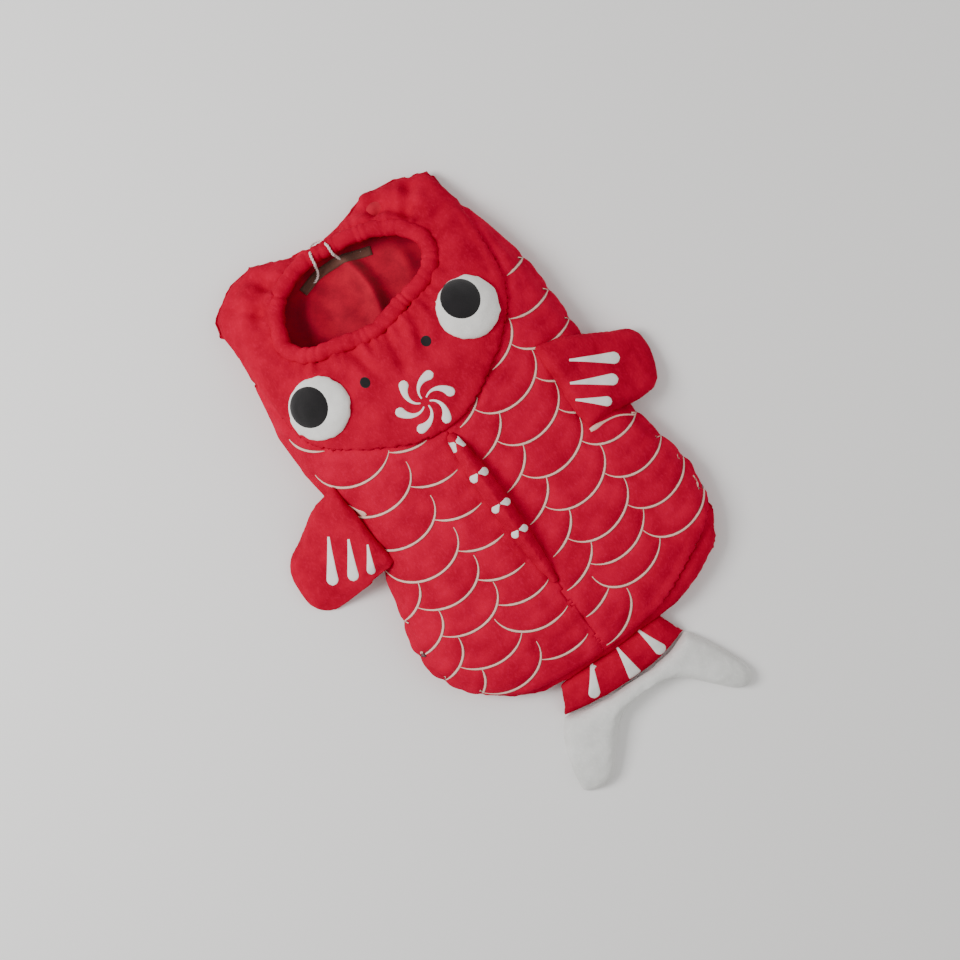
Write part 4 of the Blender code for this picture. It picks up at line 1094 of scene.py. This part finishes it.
WHORL_CENTRE = Vector((-1 * MM, 116 * MM, 0))
WHORL_RADIUS = 33.5 * MM
PETAL_HEAD = 6.2 * MM
PETAL_SWEEP = math.radians(62)
for number in range(6):
    start = math.radians(100) - 2 * math.pi * number / 6
    points = []
    for k in range(9):
        share = k / 8
        reach = WHORL_RADIUS * (0.16 + 0.84 * share)
        turn = start - PETAL_SWEEP * share**1.3
        points.append(WHORL_CENTRE + Vector((reach * math.cos(turn), reach * math.sin(turn), 0)))
    line = smooth_line(points, 1.3 * MM)
    total = length_of(line)
    halves = []
    for k in range(len(line)):
        left = total * (1 - k / (len(line) - 1))
        body = 1.1 * MM + (PETAL_HEAD - 1.1 * MM) * min((total - left) / (total - PETAL_HEAD), 1) ** 1.6
        halves.append(max(body * rounded(left, PETAL_HEAD), THINNEST))
    petal = strip(f"whorl_petal_{number + 1}_felt", [(line, halves)], SKIN, WHITE_FELT, 1.0 * MM, 1.0 * MM,
                  across=6)
    sewn(petal, "bag", "white_felt", f"whorl_petal_{number + 1}")
print("whorl done")

# %% [markdown]
# ## Felt drops
# White drops decorate the fins, the tail and the back fin. A drop is narrow at its tip and round at
# its end, so its half-width rises slowly and closes in a half circle.

# %% Drops


def drop_run(tip, end, width, spacing=1.6 * MM):
    """A drop as a strip from its tip to its round end; the points are vectors in metres."""
    line = smooth_line([tip, tip.lerp(end, 0.5), end], spacing)
    total = length_of(line)
    radius = width / 2
    halves = []
    for k in range(len(line)):
        left = total * (1 - k / (len(line) - 1))
        body = radius * (0.22 + 0.78 * min((total - left) / (total - radius), 1) ** 1.15)
        halves.append(max(body * rounded(left, radius), THINNEST))
    return line, halves


# %% [markdown]
# ## The back fin
# A long padded ridge of red fleece stands along the midline, sewn down along its base, with pairs of
# white drops over its crest. Its cloth puckers where it is sewn, so short wrinkles rise from its
# base.

# %% Back fin
def ridge_shape(spots, normals):
    """Puckers that rise from the back fin's sewn foot and fade towards its crest."""
    base_low, base_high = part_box("back_fin_cover")
    base = np.interp(spots[:, 1], [base_low.y, base_high.y], RIDGE_FOOT)
    height = np.clip((spots[:, 2] - base) / RIDGE_RISE, 0, 1)
    pucker = np.array([
        math.sin(s[1] / PUCKER * 2 + 4 * noise.noise(Vector((0, s[1] * 40, 3)))) * 0.8
        + noise.noise(Vector(s) / (15 * MM)) * 0.9
        for s in spots
    ])
    fade = np.exp(-height * 1.6) * np.clip(height * 5, 0, 1)
    return spots + normals * (pucker * fade * MM)[:, None]


RIDGE_FOOT = (66.8 * MM, 80.0 * MM)  # the height of its foot at its two ends
RIDGE_RISE = 20 * MM
PUCKER = 6.4 * MM
ridge_skin = stuffed("back_fin_padded", ["back_fin_cover", "back_fin_stuffing"], "back_fin", RED_PLAIN,
                     2.6 * MM, 2, (1.2 * MM, 1.2 * MM), ridge_shape)
# Each pair's place along the carp, length and width in millimetres.
BACK_DROPS = [(57, 14.5, 17), (14, 12, 11), (-28, 12, 10), (-64, 10.5, 10)]
for side, sign in (("left", -1), ("right", 1)):
    for number, (along, reach, width) in enumerate(BACK_DROPS, 1):
        tip, end = in_metres([(0.8 * sign, along + 2), (reach * sign, along - 2)])
        run = drop_run(tip, end, width * MM, 1.0 * MM)
        mark = strip(f"{side}_back_fin_drop_{number}_felt", [run], ridge_skin, WHITE_FELT, 0.9 * MM,
                     0.8 * MM, across=8)
        sewn(mark, "back_fin", "white_felt", f"{side}_back_fin_drop_{number}")

# %% [markdown]
# ## Side fins, cuff and fork
# These are stuffed plates: two skins sewn together round the edge. The seam holds the edge thin and
# flat for a few millimetres and the stuffing swells inside it, with soft dents over the flat faces.
# The cuff and the fork are made the same way.

# %% Stuffed plates
CUFF_BENDS = ((0, -0.242, 0.013), (0, -0.266, 0.013))  # two places on the cuff, given as bends: a piece that has them only has its place baked into its mesh
ROOT_ZONE = 14 * MM


def plate(name, nodes, body, material, voxel, cap, seed, tuck=0.0):
    """A stuffed plate with soft dents; tuck lengthens its head end, to reach under the bag."""

    def shape(spots, normals):
        level = np.clip(np.abs(normals[:, 2]), 0, 1)
        spots += normals * (dents(spots, (26, 1.5, (seed, 0, 0)), (10, 0.7, (0, seed, 0))) * level)[:, None]
        spots[:, 2] = np.maximum(spots[:, 2], LOWEST)
        root = np.clip((spots[:, 1] - spots[:, 1].max() + ROOT_ZONE) / ROOT_ZONE, 0, 1)
        spots[:, 1] += tuck * root
        return spots

    bends = CUFF_BENDS if tuck else None
    return stuffed(name, nodes, body, material, voxel, 2, cap, shape, bends)


FIN_DROPS = {
    "left": [((-183, 58), (-214, 9), 1.0), ((-165, 42), (-190, -1), 0.95), ((-150, 24), (-168, -7), 0.72)],
    "right": [((160, 60), (212, 29), 1.0), ((145, 38), (195, 10), 0.98), ((139, 19), (173, -7), 0.82)],
}
for side, drops in FIN_DROPS.items():
    parts = [f"{side}_fin_{layer}" for layer in ("front", "back", "stuffing")]
    fin_skin = plate(f"{side}_fin_padded", parts, f"{side}_fin", RED_PLAIN, 3.4 * MM,
                     (1.5 * MM, 2.5 * MM), 3.0 if side == "left" else 8.0)
    for number, (tip, end, size) in enumerate(drops, 1):
        run = drop_run(*in_metres([tip, end]), 15.5 * MM * size)
        mark = strip(f"{side}_fin_drop_{number}_felt", [run], fin_skin, WHITE_FELT, 1.1 * MM, 1.0 * MM,
                     across=8)
        sewn(mark, f"{side}_fin", "white_felt", f"{side}_fin_drop_{number}")

cuff_parts, fork_parts = ([f"tail_{part}_{layer}" for layer in ("front", "back", "stuffing")]
                          for part in ("cuff", "fork"))
cuff_skin = plate("tail_cuff_padded", cuff_parts, "tail", RED_PLAIN, 3.2 * MM,
                  (1.0 * MM, 2.5 * MM), 12.0, tuck=11 * MM)
plate("tail_fork_padded", fork_parts, "tail", WHITE_PILE, 3.6 * MM,
      (1.5 * MM, 3.5 * MM), 17.0)

# %% Cuff drops and wedge
CUFF_DROPS = {"left": [(-21, -240), (-43, -278)], "right": [(45, -242), (55, -283)]}
for side, ends in CUFF_DROPS.items():
    run = drop_run(*in_metres(ends), 15.5 * MM)
    mark = strip(f"{side}_cuff_drop_felt", [run], cuff_skin, WHITE_FELT, 1.0 * MM, 1.0 * MM, across=8)
    sewn(mark, "tail", "white_felt", f"{side}_cuff_drop", bends=CUFF_BENDS)
wedge_line = smooth_line(in_metres([(13.3, -242), (11.6, -284)]), 2 * MM)
wedge_halves = [(1.0 + 8.4 * k / (len(wedge_line) - 1)) * MM for k in range(len(wedge_line))]
wedge = strip("cuff_wedge_felt", [(wedge_line, wedge_halves)], cuff_skin, WHITE_FELT, 0.8 * MM,
              1.0 * MM, across=8)
sewn(wedge, "tail", "white_felt", "cuff_wedge", bends=CUFF_BENDS)
print("tail done")

# %% [markdown]
# ## Floor and light
# A pale floor and soft studio light: one large lamp above the head end to the left gives the folds
# a shadow side, one weak lamp fills them, and a pale sky lifts the rest.

# %% Floor and light
bm = bmesh.new()
bmesh.ops.create_grid(bm, x_segments=1, y_segments=1, size=4)
floor_mesh = mesh_from(bm, "floor")
floor_paint = new_material("pale floor", Base_Color=colour("F4F3F2"), Roughness=0.8)[0]
floor = new_object("floor", floor_mesh, floor_paint)


def lamp(name, place, size, power):
    """A square soft lamp that points at the carp's middle."""
    light = bpy.data.lights.new(name, "AREA")
    light.shape = "SQUARE"
    light.size = size
    light.energy = power
    holder = bpy.data.objects.new(name, light)
    holder.location = place
    holder.rotation_euler = (Vector((0, 0, 0.03)) - Vector(place)).to_track_quat("-Z", "Y").to_euler()
    bpy.context.scene.collection.objects.link(holder)


lamp("key", (-1.3, 1.0, 1.7), 1.0, 50)
lamp("fill", (1.6, -0.7, 1.6), 1.6, 9)
world = bpy.data.worlds.new("sky")
world.use_nodes = True
world.node_tree.nodes["Background"].inputs["Color"].default_value = colour("F4F3F1")
world.node_tree.nodes["Background"].inputs["Strength"].default_value = 0.62
bpy.context.scene.world = world
